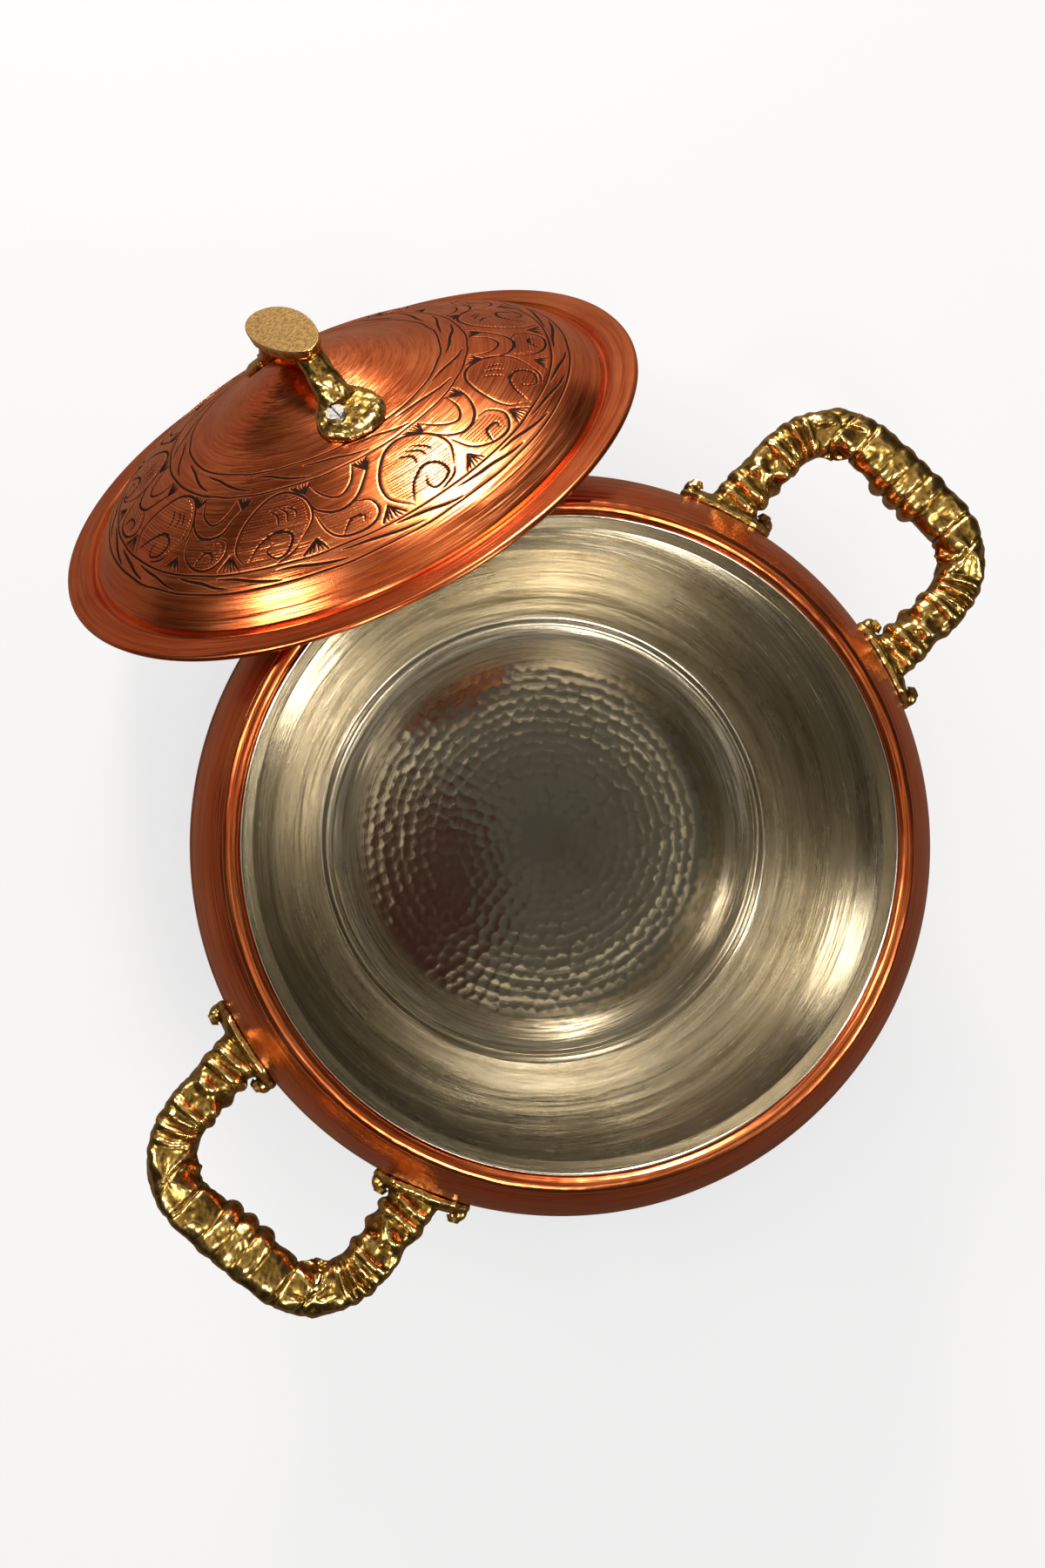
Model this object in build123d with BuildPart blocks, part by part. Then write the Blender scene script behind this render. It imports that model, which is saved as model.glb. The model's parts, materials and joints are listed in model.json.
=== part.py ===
"""A bellied copper cooking pot, tinned inside, with two cast brass loop handles and a domed lid.

The pot stands on the floor with its axis on Z and its handles along X. The lid is taken off: its
lower edge stands on the floor and its flange leans on the lip of the pot.
"""

import os
from math import asin, cos, degrees, radians, sin, sqrt

from build123d import *

# Pot body, spun from sheet
pot_height = 138.0
belly_radius = 122.5
belly_height = 91.0
sheet = 1.4
foot_radius = 91.0
foot_height = 4.0
foot_ledge = 2.5
foot_rounding = 1.5

# Rolled lip round the mouth
lip_bead = 2.8
lip_ring_radius = 101.2
throat_radius = 96.0
throat_depth = 6.5

# Tin on the inside
tin = 0.4
bond_gap = 0.04

# Cast brass handles
handle_reach = 161.0
handle_half_width = 36.5
handle_bar = 15.5
handle_corner = 21.0
handle_corner_share = 0.38
handle_drop = 34.0
handle_rise = 14.0
handle_skew = 4.0
handle_collar_bar = 19.0
handle_collar_width = 3.2
handle_collar_pitch = 6.5
handle_collars = 3
handle_seat_gap = 0.05
foot_pad_length = 31.0
foot_pad_width = 17.0
foot_pad_thickness = 4.5
foot_ring_bar = 18.0
foot_ring_width = 4.0
foot_ring_distance = 15.5

# Rivets of the handles
rivet_radius = 1.8
rivet_head_radius = 2.7
rivet_head_height = 1.8
rivet_head_taper = 30
rivet_spacing = 24.5
rivet_clearance = 0.1
rivet_seat_gap = 0.25

# Lid, with the dome's outline as shares of its base radius and height
lid_radius = 107.6
lid_sheet = 1.2
flange_thickness = 2.0
flange_rounding = 0.9
ring_clearance = 0.6
ring_width = 2.6
ring_drop = 2.0
ring_slope = 0.5
dome_height = 34.5
dome_outline = [(0.906, 0.197), (0.735, 0.423), (0.578, 0.568), (0.476, 0.638), (0.378, 0.707), (0.21, 0.878)]
lid_tilt = 45.5
lid_azimuth = 73.0
lean_gap = 0.3

# Cast brass knob, a bridge on two feet
knob_height = 45.0
knob_plate_length = 54.0
knob_plate_width = 19.0
knob_plate_thickness = 3.8
knob_foot_distance = 37.0
knob_foot_radius = 11.3
knob_foot_thickness = 3.2
knob_leg_top = 5.0
knob_leg_bottom = 6.2
knob_leg_inset = 7.0
knob_seat_gap = 0.05
knob_turn = 8.0

# Slotted screws of the knob, with washers and nuts inside the lid
screw_radius = 2.0
screw_head_radius = 3.3
screw_head_height = 1.5
screw_head_taper = 12
screw_slot_width = 0.9
screw_slot_depth = 0.8
screw_clearance = 0.15
screw_tail = 1.2
washer_radius = 4.5
washer_thickness = 0.8
nut_across_flats = 7.0
nut_height = 3.2
fastener_gap = 0.5


lip_height = pot_height - lip_bead
mouth_radius = lip_ring_radius - lip_bead
throat_height = pot_height - throat_depth
handle_height = pot_height - handle_drop
shoulder_join = lip_height - lip_bead - sheet
floor_inside = sheet


def arc_radius(run, rise):
    """Radius of an arc that starts straight up and moves in by a run over a rise."""
    return (run**2 + rise**2) / (2 * run)


# The wall of the pot as two arcs that meet at the belly, upright there
lower_arc = arc_radius(belly_radius - foot_radius - foot_ledge, belly_height - foot_height)
shoulder_arc = arc_radius(belly_radius - lip_ring_radius, lip_height - belly_height)


def wall_radius(height, inset=0.0):
    """Radius of the wall at a height, measured inset inside its outer face."""
    arc = shoulder_arc if height > belly_height else lower_arc
    centre = belly_radius - arc
    return centre + sqrt((arc - inset) ** 2 - (height - belly_height) ** 2)


def wall_slope(height):
    """Angle of the wall's outward normal above the horizontal, in degrees."""
    arc = shoulder_arc if height > belly_height else lower_arc
    return degrees(asin((height - belly_height) / arc))


def wall_point(height, inset=0.0):
    return (wall_radius(height, inset), height)


def wall_arcs(bottom, top, inset):
    """Draw the wall from a lower to an upper height in the open BuildLine."""
    turn = min(max(bottom, belly_height), top)
    for start, end in ((bottom, turn), (turn, top)):
        if end > start:
            middle = (start + end) / 2
            ThreePointArc(wall_point(start, inset), wall_point(middle, inset), wall_point(end, inset))


# Places of the handles' feet and rivets, by azimuth and turn along the wall.
# The left handle was riveted a little round from straight across.
handle_sides = {"right": 0.0, "left": 180.0 + handle_skew}
foot_wall_radius = wall_radius(handle_height)
foot_turn = degrees(asin(handle_half_width / foot_wall_radius))
rivet_turn = degrees(rivet_spacing / 2 / foot_wall_radius)


def wall_plane(azimuth):
    """Plane on the wall at the handles' height, X along the wall and Z outward."""
    turn = radians(azimuth)
    slope = radians(wall_slope(handle_height))
    origin = (foot_wall_radius * cos(turn), foot_wall_radius * sin(turn), handle_height)
    normal = (cos(turn) * cos(slope), sin(turn) * cos(slope), sin(slope))
    return Plane(origin=origin, x_dir=(-sin(turn), cos(turn), 0), z_dir=normal)


def foot_planes(azimuth):
    return [wall_plane(azimuth + side * foot_turn) for side in (-1, 1)]


def rivet_planes(azimuth):
    turns = [side * foot_turn + end * rivet_turn for side in (-1, 1) for end in (-1, 1)]
    return [wall_plane(azimuth + turn) for turn in turns]


all_rivet_planes = [plane for azimuth in handle_sides.values() for plane in rivet_planes(azimuth)]
rivet_hole = rivet_radius + rivet_clearance
wall_depth = sheet + bond_gap + tin

# Pot body
with BuildPart() as pot_body:
    with BuildSketch(Plane.XZ):
        with BuildLine():
            inner_low = wall_point(foot_height + sheet, sheet)
            inner_top = wall_point(lip_height, sheet)
            outer_top = wall_point(lip_height)
            Polyline(
                inner_low,
                (foot_radius - sheet, foot_height + sheet),
                (foot_radius - sheet, floor_inside),
                (0, floor_inside),
                (0, 0),
                (foot_radius - foot_rounding, 0),
                (foot_radius, foot_rounding),
                (foot_radius, foot_height),
                wall_point(foot_height),
            )
            wall_arcs(foot_height, lip_height, 0)
            Line(outer_top, inner_top)
            wall_arcs(foot_height + sheet, lip_height, sheet)
        make_face()
        with Locations((lip_ring_radius, lip_height)):
            Circle(lip_bead)
        with BuildLine():
            Polyline(
                (lip_ring_radius, pot_height - bond_gap),
                (mouth_radius, lip_height + lip_bead / 2),
                (throat_radius, throat_height),
                (throat_radius + sheet, throat_height - sheet),
                wall_point(shoulder_join, sheet),
                (lip_ring_radius, lip_height),
                close=True,
            )
        make_face()
    revolve(axis=Axis.Z)
    for plane in all_rivet_planes:
        with BuildSketch(plane):
            Circle(rivet_hole)
        extrude(amount=wall_depth * 2, both=True, mode=Mode.SUBTRACT)
pot_body.part.label = "pot_body"


def lining_side(depth):
    """Draw one side of the tin, at a depth under the copper's inner face, from lip to centre."""
    top = wall_point(shoulder_join - depth, sheet + depth)
    low = wall_point(foot_height + sheet + depth, sheet + depth)
    Polyline(
        (mouth_radius - depth, lip_height + lip_bead / 2),
        (throat_radius - depth, throat_height),
        (throat_radius + sheet - depth, throat_height - sheet - depth),
        top,
    )
    wall_arcs(low[1], top[1], sheet + depth)
    Polyline(
        low,
        (foot_radius - sheet - depth, low[1]),
        (foot_radius - sheet - depth, floor_inside + depth),
        (0, floor_inside + depth),
    )


# Tin lining
with BuildPart() as pot_tin_lining:
    with BuildSketch(Plane.XZ):
        with BuildLine():
            lining_side(bond_gap)
            Line((0, floor_inside + bond_gap), (0, floor_inside + bond_gap + tin))
            lining_side(bond_gap + tin)
            lining_top = lip_height + lip_bead / 2
            Line((mouth_radius - bond_gap, lining_top), (mouth_radius - bond_gap - tin, lining_top))
        make_face()
    revolve(axis=Axis.Z)
    for plane in all_rivet_planes:
        with BuildSketch(plane):
            Circle(rivet_hole)
        extrude(amount=wall_depth * 2, both=True, mode=Mode.SUBTRACT)
pot_tin_lining.part.label = "pot_tin_lining"

# Handle: two pads that follow the wall, a squared loop between them, collars and rings
loop_start_radius = sqrt(foot_wall_radius**2 - handle_half_width**2) - sheet
loop_length = (handle_reach - loop_start_radius) / cos(radians(handle_rise))
band_low = handle_height - foot_pad_width
band_high = min(handle_height + foot_pad_width, lip_height - lip_bead)


def loop_plane(azimuth):
    """Plane of the loop's centre line: X outward and up along the rise, Y along the wall."""
    turn = radians(azimuth)
    rise = radians(handle_rise)
    outward = (cos(turn) * cos(rise), sin(turn) * cos(rise), sin(rise))
    normal = (-cos(turn) * sin(rise), -sin(turn) * sin(rise), cos(rise))
    origin = (loop_start_radius * cos(turn), loop_start_radius * sin(turn), handle_height)
    return Plane(origin=origin, x_dir=outward, z_dir=normal)


def wall_band(inner_inset, outer_inset):
    """Draw the outline between two offsets of the wall beside the feet."""
    wall_arcs(band_low, band_high, inner_inset)
    Line(wall_point(band_high, inner_inset), wall_point(band_high, outer_inset))
    wall_arcs(band_low, band_high, outer_inset)
    Line(wall_point(band_low, outer_inset), wall_point(band_low, inner_inset))


def bar_section(size):
    RectangleRounded(size, size, size * handle_corner_share)


def make_handle(azimuth):
    frame = loop_plane(azimuth)
    rings = [(foot_ring_distance, side * handle_half_width) for side in (-1, 1)]
    collars = [(step - (handle_collars - 1) / 2) * handle_collar_pitch for step in range(handle_collars)]
    with BuildPart() as handle:
        for plane in foot_planes(azimuth):
            with BuildSketch(plane):
                SlotOverall(foot_pad_length, foot_pad_width)
            extrude(amount=foot_pad_thickness * 2, both=True)
        with BuildSketch(Plane.XZ):
            with BuildLine():
                wall_band(-handle_seat_gap, -handle_seat_gap - foot_pad_thickness)
            make_face()
        revolve(axis=Axis.Z, mode=Mode.INTERSECT)
        with BuildLine(frame) as path:
            FilletPolyline(
                (0, handle_half_width),
                (loop_length, handle_half_width),
                (loop_length, -handle_half_width),
                (0, -handle_half_width),
                radius=handle_corner,
            )
        with BuildSketch(Plane(origin=path.line @ 0, x_dir=frame.z_dir, z_dir=path.line % 0)):
            bar_section(handle_bar)
        sweep(path=path.line)
        for along, across in rings:
            centre = frame.from_local_coords((along, across, 0))
            with BuildSketch(Plane(origin=centre, x_dir=frame.z_dir, z_dir=frame.x_dir)):
                bar_section(foot_ring_bar)
            extrude(amount=foot_ring_width / 2, both=True)
        for shift in collars:
            centre = frame.from_local_coords((loop_length, shift, 0))
            with BuildSketch(Plane(origin=centre, x_dir=frame.z_dir, z_dir=frame.y_dir)):
                bar_section(handle_collar_bar)
            extrude(amount=handle_collar_width / 2, both=True)
        with BuildSketch(Plane.XZ):
            with BuildLine():
                edge = -handle_seat_gap
                wall_arcs(band_low, band_high, edge)
                high = wall_point(band_high, edge)
                low = wall_point(band_low, edge)
                Polyline(high, (0, band_high), (0, band_low), low)
            make_face()
        revolve(axis=Axis.Z, mode=Mode.SUBTRACT)
        for plane in rivet_planes(azimuth):
            with BuildSketch(plane):
                Circle(rivet_hole)
            extrude(amount=foot_pad_thickness * 2, both=True, mode=Mode.SUBTRACT)
    return handle


def make_rivets(azimuth):
    outside = handle_seat_gap + foot_pad_thickness + handle_seat_gap
    inside = wall_depth + rivet_seat_gap
    with BuildPart() as rivets:
        for plane in rivet_planes(azimuth):
            with BuildSketch(plane.offset(-inside)):
                Circle(rivet_radius)
            extrude(amount=inside + outside)
            with BuildSketch(plane.offset(outside)):
                Circle(rivet_head_radius)
            extrude(amount=rivet_head_height, taper=rivet_head_taper)
            with BuildSketch(plane.offset(-inside)):
                Circle(rivet_head_radius)
            extrude(amount=-rivet_head_height, taper=rivet_head_taper)
    return rivets


handles = {}
for side, azimuth in handle_sides.items():
    handles[f"handle_{side}"] = make_handle(azimuth)
    handles[f"handle_{side}_rivets"] = make_rivets(azimuth)
for name, piece in handles.items():
    piece.part.label = name

# Lid section: a height over the flange's top face for each radius
ring_outer = mouth_radius - ring_clearance
ring_inner = ring_outer - ring_width
dome_base = ring_inner


def dome_points(depth=0.0):
    """Points of the dome from its base to its peak, at a depth under its outer face."""
    shares = [(1.0, 0.0)] + dome_outline + [(0.0, 1.0)]
    points = [(share * dome_base, rise * dome_height) for share, rise in shares]
    moved = []
    for index, (radius, height) in enumerate(points):
        before = points[max(index - 1, 0)]
        after = points[min(index + 1, len(points) - 1)]
        run = before[0] - after[0]
        rise = after[1] - before[1]
        if index == len(points) - 1:
            rise = 0.0
        length = sqrt(run**2 + rise**2)
        moved.append((max(radius - depth * rise / length, 0.0), height - depth * run / length))
    return moved


def dome_line(depth=0.0):
    return Spline(*dome_points(depth), tangents=[(-1, 0.75), (-1, 0)], tangent_scalars=[0.6, 0.8])


def underside_heights():
    """The lid's lower outline as (radius, height), from its edge to its peak."""
    ring_bottom = -ring_drop - lid_sheet
    outline = [
        (lid_radius, -flange_thickness),
        (ring_outer + ring_slope, -flange_thickness),
        (ring_outer, ring_bottom),
        (ring_inner, ring_bottom),
    ]
    return outline + dome_points(lid_sheet + bond_gap + tin)


def underside_at(radius):
    outline = underside_heights()
    for (outer, outer_height), (inner, inner_height) in zip(outline, outline[1:]):
        if inner <= radius <= outer and outer > inner:
            share = (radius - inner) / (outer - inner)
            return inner_height + share * (outer_height - inner_height)
    return outline[-1][1]


# Where the lid leans: its edge on the floor, its flange on the lip
tilt = radians(lid_tilt)
lid_centre_height = lid_radius * sin(tilt) + flange_thickness * cos(tilt)


def pot_outline():
    """Points on the outside of the lip and shoulder as (radius, height)."""
    bead_angles = [radians(step * 15) for step in range(0, 10)]
    lip = [(lip_ring_radius + lip_bead * cos(a), lip_height + lip_bead * sin(a)) for a in bead_angles]
    steps = [step / 12 for step in range(13)]
    return lip + [wall_point(belly_height + s * (lip_height - belly_height)) for s in steps]


def lean_room(reach):
    """Least room between the pot and the lid's underside with the lid's centre at a reach."""
    room = lid_radius
    for step in range(0, 121):
        turn = radians(step)
        for radius, height in pot_outline():
            along = radius * cos(turn) - reach
            across = radius * sin(turn)
            up = height - lid_centre_height
            over = along * sin(tilt) + up * cos(tilt)
            spread = sqrt(max(along**2 + across**2 + up**2 - over**2, 0.0))
            if spread <= lid_radius:
                room = min(room, underside_at(spread) - over)
    return room


def lean_reach():
    """Distance from the pot's axis to the lid's centre that leaves the lean gap."""
    near = belly_radius
    far = belly_radius + lid_radius
    for _ in range(24):
        middle = (near + far) / 2
        if lean_room(middle) < lean_gap:
            near = middle
        else:
            far = middle
    return far


lid_turn = radians(lid_azimuth)
lid_reach = lean_reach()
lid_origin = Vector(lid_reach * cos(lid_turn), lid_reach * sin(lid_turn), lid_centre_height)
lid_normal = Vector(sin(tilt) * cos(lid_turn), sin(tilt) * sin(lid_turn), cos(tilt))
lid_upslope = Vector(-cos(tilt) * cos(lid_turn), -cos(tilt) * sin(lid_turn), sin(tilt))
lid_section = Plane(origin=lid_origin, x_dir=lid_upslope, z_dir=lid_upslope.cross(lid_normal))
lid_axis = Axis(lid_origin, lid_normal)
knob_frame = Plane(origin=lid_origin, x_dir=lid_upslope, z_dir=lid_normal).rotated((0, 0, knob_turn))


def dome_height_at(radius):
    outline = dome_points()
    for (outer, outer_height), (inner, inner_height) in zip(outline, outline[1:]):
        if inner <= radius <= outer:
            share = (radius - inner) / (outer - inner)
            return inner_height + share * (outer_height - inner_height)
    return dome_height


# Planes of the knob's two feet, square to the dome where they stand
slope_run = knob_foot_radius / 2
foot_fall = dome_height_at(knob_foot_distance - slope_run) - dome_height_at(knob_foot_distance + slope_run)
foot_slope = foot_fall / (2 * slope_run)
foot_rise = dome_height_at(knob_foot_distance)


def knob_foot_plane(side):
    lean = sqrt(1 + foot_slope**2)
    normal = knob_frame.z_dir * (1 / lean) + knob_frame.x_dir * (side * foot_slope / lean)
    along = knob_frame.x_dir * (1 / lean) - knob_frame.z_dir * (side * foot_slope / lean)
    origin = knob_frame.from_local_coords((side * knob_foot_distance, 0, foot_rise))
    return Plane(origin=origin, x_dir=along, z_dir=normal)


knob_foot_planes = [knob_foot_plane(side) for side in (-1, 1)]
screw_hole = screw_radius + screw_clearance
lid_depth = lid_sheet + bond_gap + tin


# Lid shell
with BuildPart() as lid_shell:
    with BuildSketch(lid_section):
        with BuildLine():
            under = dome_points(lid_sheet)
            dome_line()
            Polyline(
                (dome_base, 0),
                (ring_inner + ring_slope, -ring_drop),
                (ring_outer - ring_slope, -ring_drop),
                (ring_outer + ring_slope, 0),
                (lid_radius - flange_rounding, 0),
                (lid_radius, -flange_rounding),
                (lid_radius, -flange_thickness + flange_rounding),
                (lid_radius - flange_rounding, -flange_thickness),
                (ring_outer + ring_slope, -flange_thickness),
                (ring_outer, -ring_drop - lid_sheet),
                (ring_inner, -ring_drop - lid_sheet),
                under[0],
            )
            dome_line(lid_sheet)
            Line((0, dome_height - lid_sheet), (0, dome_height))
        make_face()
    revolve(axis=lid_axis)
    for plane in knob_foot_planes:
        with BuildSketch(plane):
            Circle(screw_hole)
        extrude(amount=lid_depth * 3, both=True, mode=Mode.SUBTRACT)
lid_shell.part.label = "lid_shell"

# Tin on the lid's underside
with BuildPart() as lid_tin_lining:
    with BuildSketch(lid_section):
        with BuildLine():
            upper = dome_points(lid_sheet + bond_gap)
            lower = dome_points(lid_depth)
            dome_line(lid_sheet + bond_gap)
            Line(upper[-1], lower[-1])
            dome_line(lid_depth)
            Line(lower[0], upper[0])
        make_face()
    revolve(axis=lid_axis)
    for plane in knob_foot_planes:
        with BuildSketch(plane):
            Circle(screw_hole)
        extrude(amount=lid_depth * 3, both=True, mode=Mode.SUBTRACT)
lid_tin_lining.part.label = "lid_tin_lining"

# Knob
plate_bottom = knob_height - knob_plate_thickness
leg_shift = knob_plate_length / 2 - knob_leg_inset
with BuildPart() as lid_knob:
    for side, plane in zip((-1, 1), knob_foot_planes):
        with BuildSketch(knob_frame.offset(plate_bottom + knob_plate_thickness / 2)):
            with Locations((side * leg_shift, 0)):
                Circle(knob_leg_top)
        with BuildSketch(knob_frame.offset(foot_rise)):
            with Locations((side * (knob_foot_distance - knob_leg_bottom / 2), 0)):
                Circle(knob_leg_bottom)
        loft()
        with BuildSketch(plane):
            Circle(knob_foot_radius)
        extrude(amount=knob_foot_thickness, both=True)
    with BuildSketch(knob_frame.offset(plate_bottom)):
        Ellipse(knob_plate_length / 2, knob_plate_width / 2)
    extrude(amount=knob_plate_thickness)
    with BuildSketch(lid_section):
        with BuildLine():
            seat = dome_points(-knob_seat_gap)
            dome_line(-knob_seat_gap)
            Polyline(seat[-1], (0, -lid_sheet), (seat[0][0], -lid_sheet), seat[0])
        make_face()
    revolve(axis=lid_axis, mode=Mode.SUBTRACT)
    for plane in knob_foot_planes:
        with BuildSketch(plane.offset(knob_foot_thickness)):
            Circle(screw_head_radius + screw_clearance)
        extrude(amount=knob_height, mode=Mode.SUBTRACT)
    for plane in knob_foot_planes:
        with BuildSketch(plane):
            Circle(screw_hole)
        extrude(amount=knob_foot_thickness * 2, both=True, mode=Mode.SUBTRACT)
lid_knob.part.label = "lid_knob"

# Screws, washers and nuts of the knob
washer_top = lid_depth + fastener_gap
nut_top = washer_top + washer_thickness + knob_seat_gap
screw_end = nut_top + nut_height + screw_tail
head_seat = knob_foot_thickness + knob_seat_gap
with BuildPart() as knob_screws:
    for plane in knob_foot_planes:
        with BuildSketch(plane.offset(-screw_end)):
            Circle(screw_radius)
        extrude(amount=screw_end + head_seat)
        with BuildSketch(plane.offset(head_seat)):
            Circle(screw_head_radius)
        extrude(amount=screw_head_height, taper=screw_head_taper)
        with BuildSketch(plane.offset(head_seat + screw_head_height)):
            Rectangle(screw_head_radius * 2, screw_slot_width)
        extrude(amount=-screw_slot_depth, mode=Mode.SUBTRACT)
knob_screws.part.label = "knob_screws"

with BuildPart() as knob_washers:
    for plane in knob_foot_planes:
        with BuildSketch(plane.offset(-washer_top)):
            Circle(washer_radius)
            Circle(screw_hole, mode=Mode.SUBTRACT)
        extrude(amount=-washer_thickness)
knob_washers.part.label = "knob_washers"

with BuildPart() as knob_nuts:
    for plane in knob_foot_planes:
        with BuildSketch(plane.offset(-nut_top)):
            RegularPolygon(nut_across_flats / 2, 6, major_radius=False)
            Circle(screw_radius + knob_seat_gap, mode=Mode.SUBTRACT)
        extrude(amount=-nut_height)
knob_nuts.part.label = "knob_nuts"

pieces = [pot_body, pot_tin_lining, lid_shell, lid_tin_lining, lid_knob, knob_screws, knob_washers, knob_nuts]
pieces += handles.values()

os.makedirs("parts", exist_ok=True)
for piece in pieces:
    export_step(piece.part, f"parts/{piece.part.label}.step")
print("lid centre at", round(lid_reach, 3), "mm from the pot's axis")
print("lid origin", [round(value, 3) for value in lid_origin])
print("lid normal", [round(value, 5) for value in lid_normal])
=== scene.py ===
"""Copper pot with its lid taken off: the finished surfaces, the stage and the camera.

Blender keeps the settings' lengths in metres. sizes() hands them out in millimetres, which the
shapes are worked out in, and each mesh is made in metres again.
"""

import json
from math import asin, ceil, cos, hypot, pi, radians, sin, sqrt
from types import SimpleNamespace

import bpy
import numpy as np
from bpy.props import FloatProperty, FloatVectorProperty, IntProperty, PointerProperty
from bpy.types import Operator, Panel, PropertyGroup
from mathutils import Matrix, Vector


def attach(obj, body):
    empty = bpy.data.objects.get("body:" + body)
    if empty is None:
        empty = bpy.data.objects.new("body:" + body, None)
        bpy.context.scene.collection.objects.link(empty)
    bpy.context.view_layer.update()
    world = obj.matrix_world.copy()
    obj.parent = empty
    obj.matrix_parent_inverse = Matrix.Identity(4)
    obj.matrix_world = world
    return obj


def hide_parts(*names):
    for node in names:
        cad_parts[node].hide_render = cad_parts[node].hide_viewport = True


bl_info = {
    "name": "Copper Pot",
    "version": (1, 0, 0),
    "blender": (4, 5, 0),
    "location": "View3D > Sidebar > Copper Pot",
    "description": "Engraved copper pot with cast brass handles and a leaning lid",
    "category": "Add Mesh",
}

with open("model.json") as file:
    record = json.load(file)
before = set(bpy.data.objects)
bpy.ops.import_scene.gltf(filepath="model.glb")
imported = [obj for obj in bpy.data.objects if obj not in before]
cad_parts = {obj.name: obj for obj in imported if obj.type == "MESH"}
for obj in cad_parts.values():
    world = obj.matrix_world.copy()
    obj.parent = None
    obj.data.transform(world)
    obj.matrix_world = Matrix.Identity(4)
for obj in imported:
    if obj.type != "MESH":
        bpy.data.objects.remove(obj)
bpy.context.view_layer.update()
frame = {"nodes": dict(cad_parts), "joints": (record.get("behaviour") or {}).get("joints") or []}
MM = 0.001
lid_normal = Vector(frame["joints"][0]["axis"]).normalized()


def read_layer(layer, field, width, kind=float):
    """One field of a mesh's vertices or edges as an array of rows."""
    values = np.zeros(len(layer) * width, dtype=kind)
    layer.foreach_get(field, values)
    return values.reshape(-1, width)


def lid_matrix():
    """Frame of the lid: origin in the flange's top face, Z along its normal, X up the slope."""
    lid = sizes("lid")
    normal = np.array(lid_normal)
    upslope = np.array([0.0, 0.0, 1.0]) - normal * normal[2]
    upslope /= np.linalg.norm(upslope)
    across = np.cross(normal, upslope)
    points = read_layer(frame["nodes"]["lid_shell"].data.vertices, "co", 3)
    origin = normal * ((points @ normal).min() + (lid.ring_drop + lid.sheet) * MM)
    for axis in (upslope, across):
        spread = points @ axis
        origin += axis * (spread.min() + spread.max()) / 2
    axes = np.column_stack([upslope, across, normal, origin])
    return Matrix([*axes.tolist(), [0, 0, 0, 1]])


def length(name, millimetres, text):
    metres = millimetres * MM
    return FloatProperty(name=name, description=text, default=metres, min=0.0, unit="LENGTH", precision=5)


def angle(name, degrees, text):
    return FloatProperty(name=name, description=text, default=radians(degrees), subtype="ANGLE")


def colour(name, default, text):
    return FloatVectorProperty(name=name, description=text, default=default, subtype="COLOR", size=3)


class PotSizes(PropertyGroup):
    """Sizes of the pot."""

    height: length("Height", 138.0, "Height of the lip over the floor")
    belly_radius: length("Belly radius", 122.5, "Widest radius of the body")
    belly_height: length("Belly height", 91.0, "Height of the widest place")
    foot_radius: length("Foot radius", 91.0, "Radius of the flat base")
    foot_height: length("Foot height", 4.0, "Height of the step round the base")
    foot_ledge: length("Foot ledge", 2.5, "Width of the ledge over the step")
    sheet: length("Sheet", 1.4, "Thickness of the copper")
    tin: length("Tin", 0.4, "Thickness of the tin")
    bond: length("Bond", 0.04, "Room between copper and tin")
    lip_bead: length("Lip bead", 2.8, "Radius of the rolled lip")
    lip_ring: length("Lip ring", 101.2, "Radius of the circle the lip's bead runs on")
    throat_radius: length("Throat radius", 96.0, "Narrowest radius under the lip")
    throat_depth: length("Throat depth", 6.5, "Depth of the narrowest place")
    ornament_top: length("Ornament top", 112.0, "Height of the upper border of the engraving")
    ornament_bottom: length("Ornament bottom", 54.0, "Height of the lower border of the engraving")
    border: length("Border", 6.5, "Width of the engraved borders")
    hammered_radius: length("Hammered radius", 80.0, "Radius of the hammered field")
    dimple_pitch: length("Dimple pitch", 5.0, "Distance between hammer marks")
    dimple_depth: length("Dimple depth", 0.065, "Depth of a hammer mark")


class LidSizes(PropertyGroup):
    """Sizes of the lid."""

    radius: length("Radius", 107.3, "Outer radius of the flange")
    flange: length("Flange", 2.0, "Thickness of the flange")
    sheet: length("Sheet", 1.2, "Thickness of the copper")
    ring_outer: length("Ring outer", 97.8, "Outer radius of the pressed ring")
    ring_inner: length("Ring inner", 95.2, "Inner radius of the pressed ring")
    ring_drop: length("Ring drop", 2.0, "Depth of the pressed ring")
    dome_height: length("Dome height", 34.5, "Height of the peak over the flange")
    border_outer: length("Outer border", 86.3, "Radius of the outer border line")
    border_outer_in: length("Outer border inside", 80.9, "Radius of the outer border's inside line")
    border_inner_out: length("Inner border outside", 55.0, "Radius of the inner border's outside line")
    border_inner: length("Inner border", 46.3, "Radius of the inner border line")
    units: IntProperty(name="Units", description="Scrolls round the lid", default=9, min=3)
    knob_height: length("Knob height", 45.0, "Height of the knob's top over the flange")
    plate_length: length("Plate length", 54.0, "Length of the knob's plate")
    plate_width: length("Plate width", 19.0, "Width of the knob's plate")
    plate_thickness: length("Plate thickness", 3.8, "Thickness of the knob's plate")
    foot_distance: length("Foot distance", 37.0, "Distance of a foot from the lid's axis")
    foot_radius: length("Foot radius", 11.2, "Radius of a foot")
    foot_thickness: length("Foot thickness", 3.1, "Thickness of a foot")
    knob_turn: angle("Knob turn", 8, "Turn of the knob on the lid")


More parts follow.
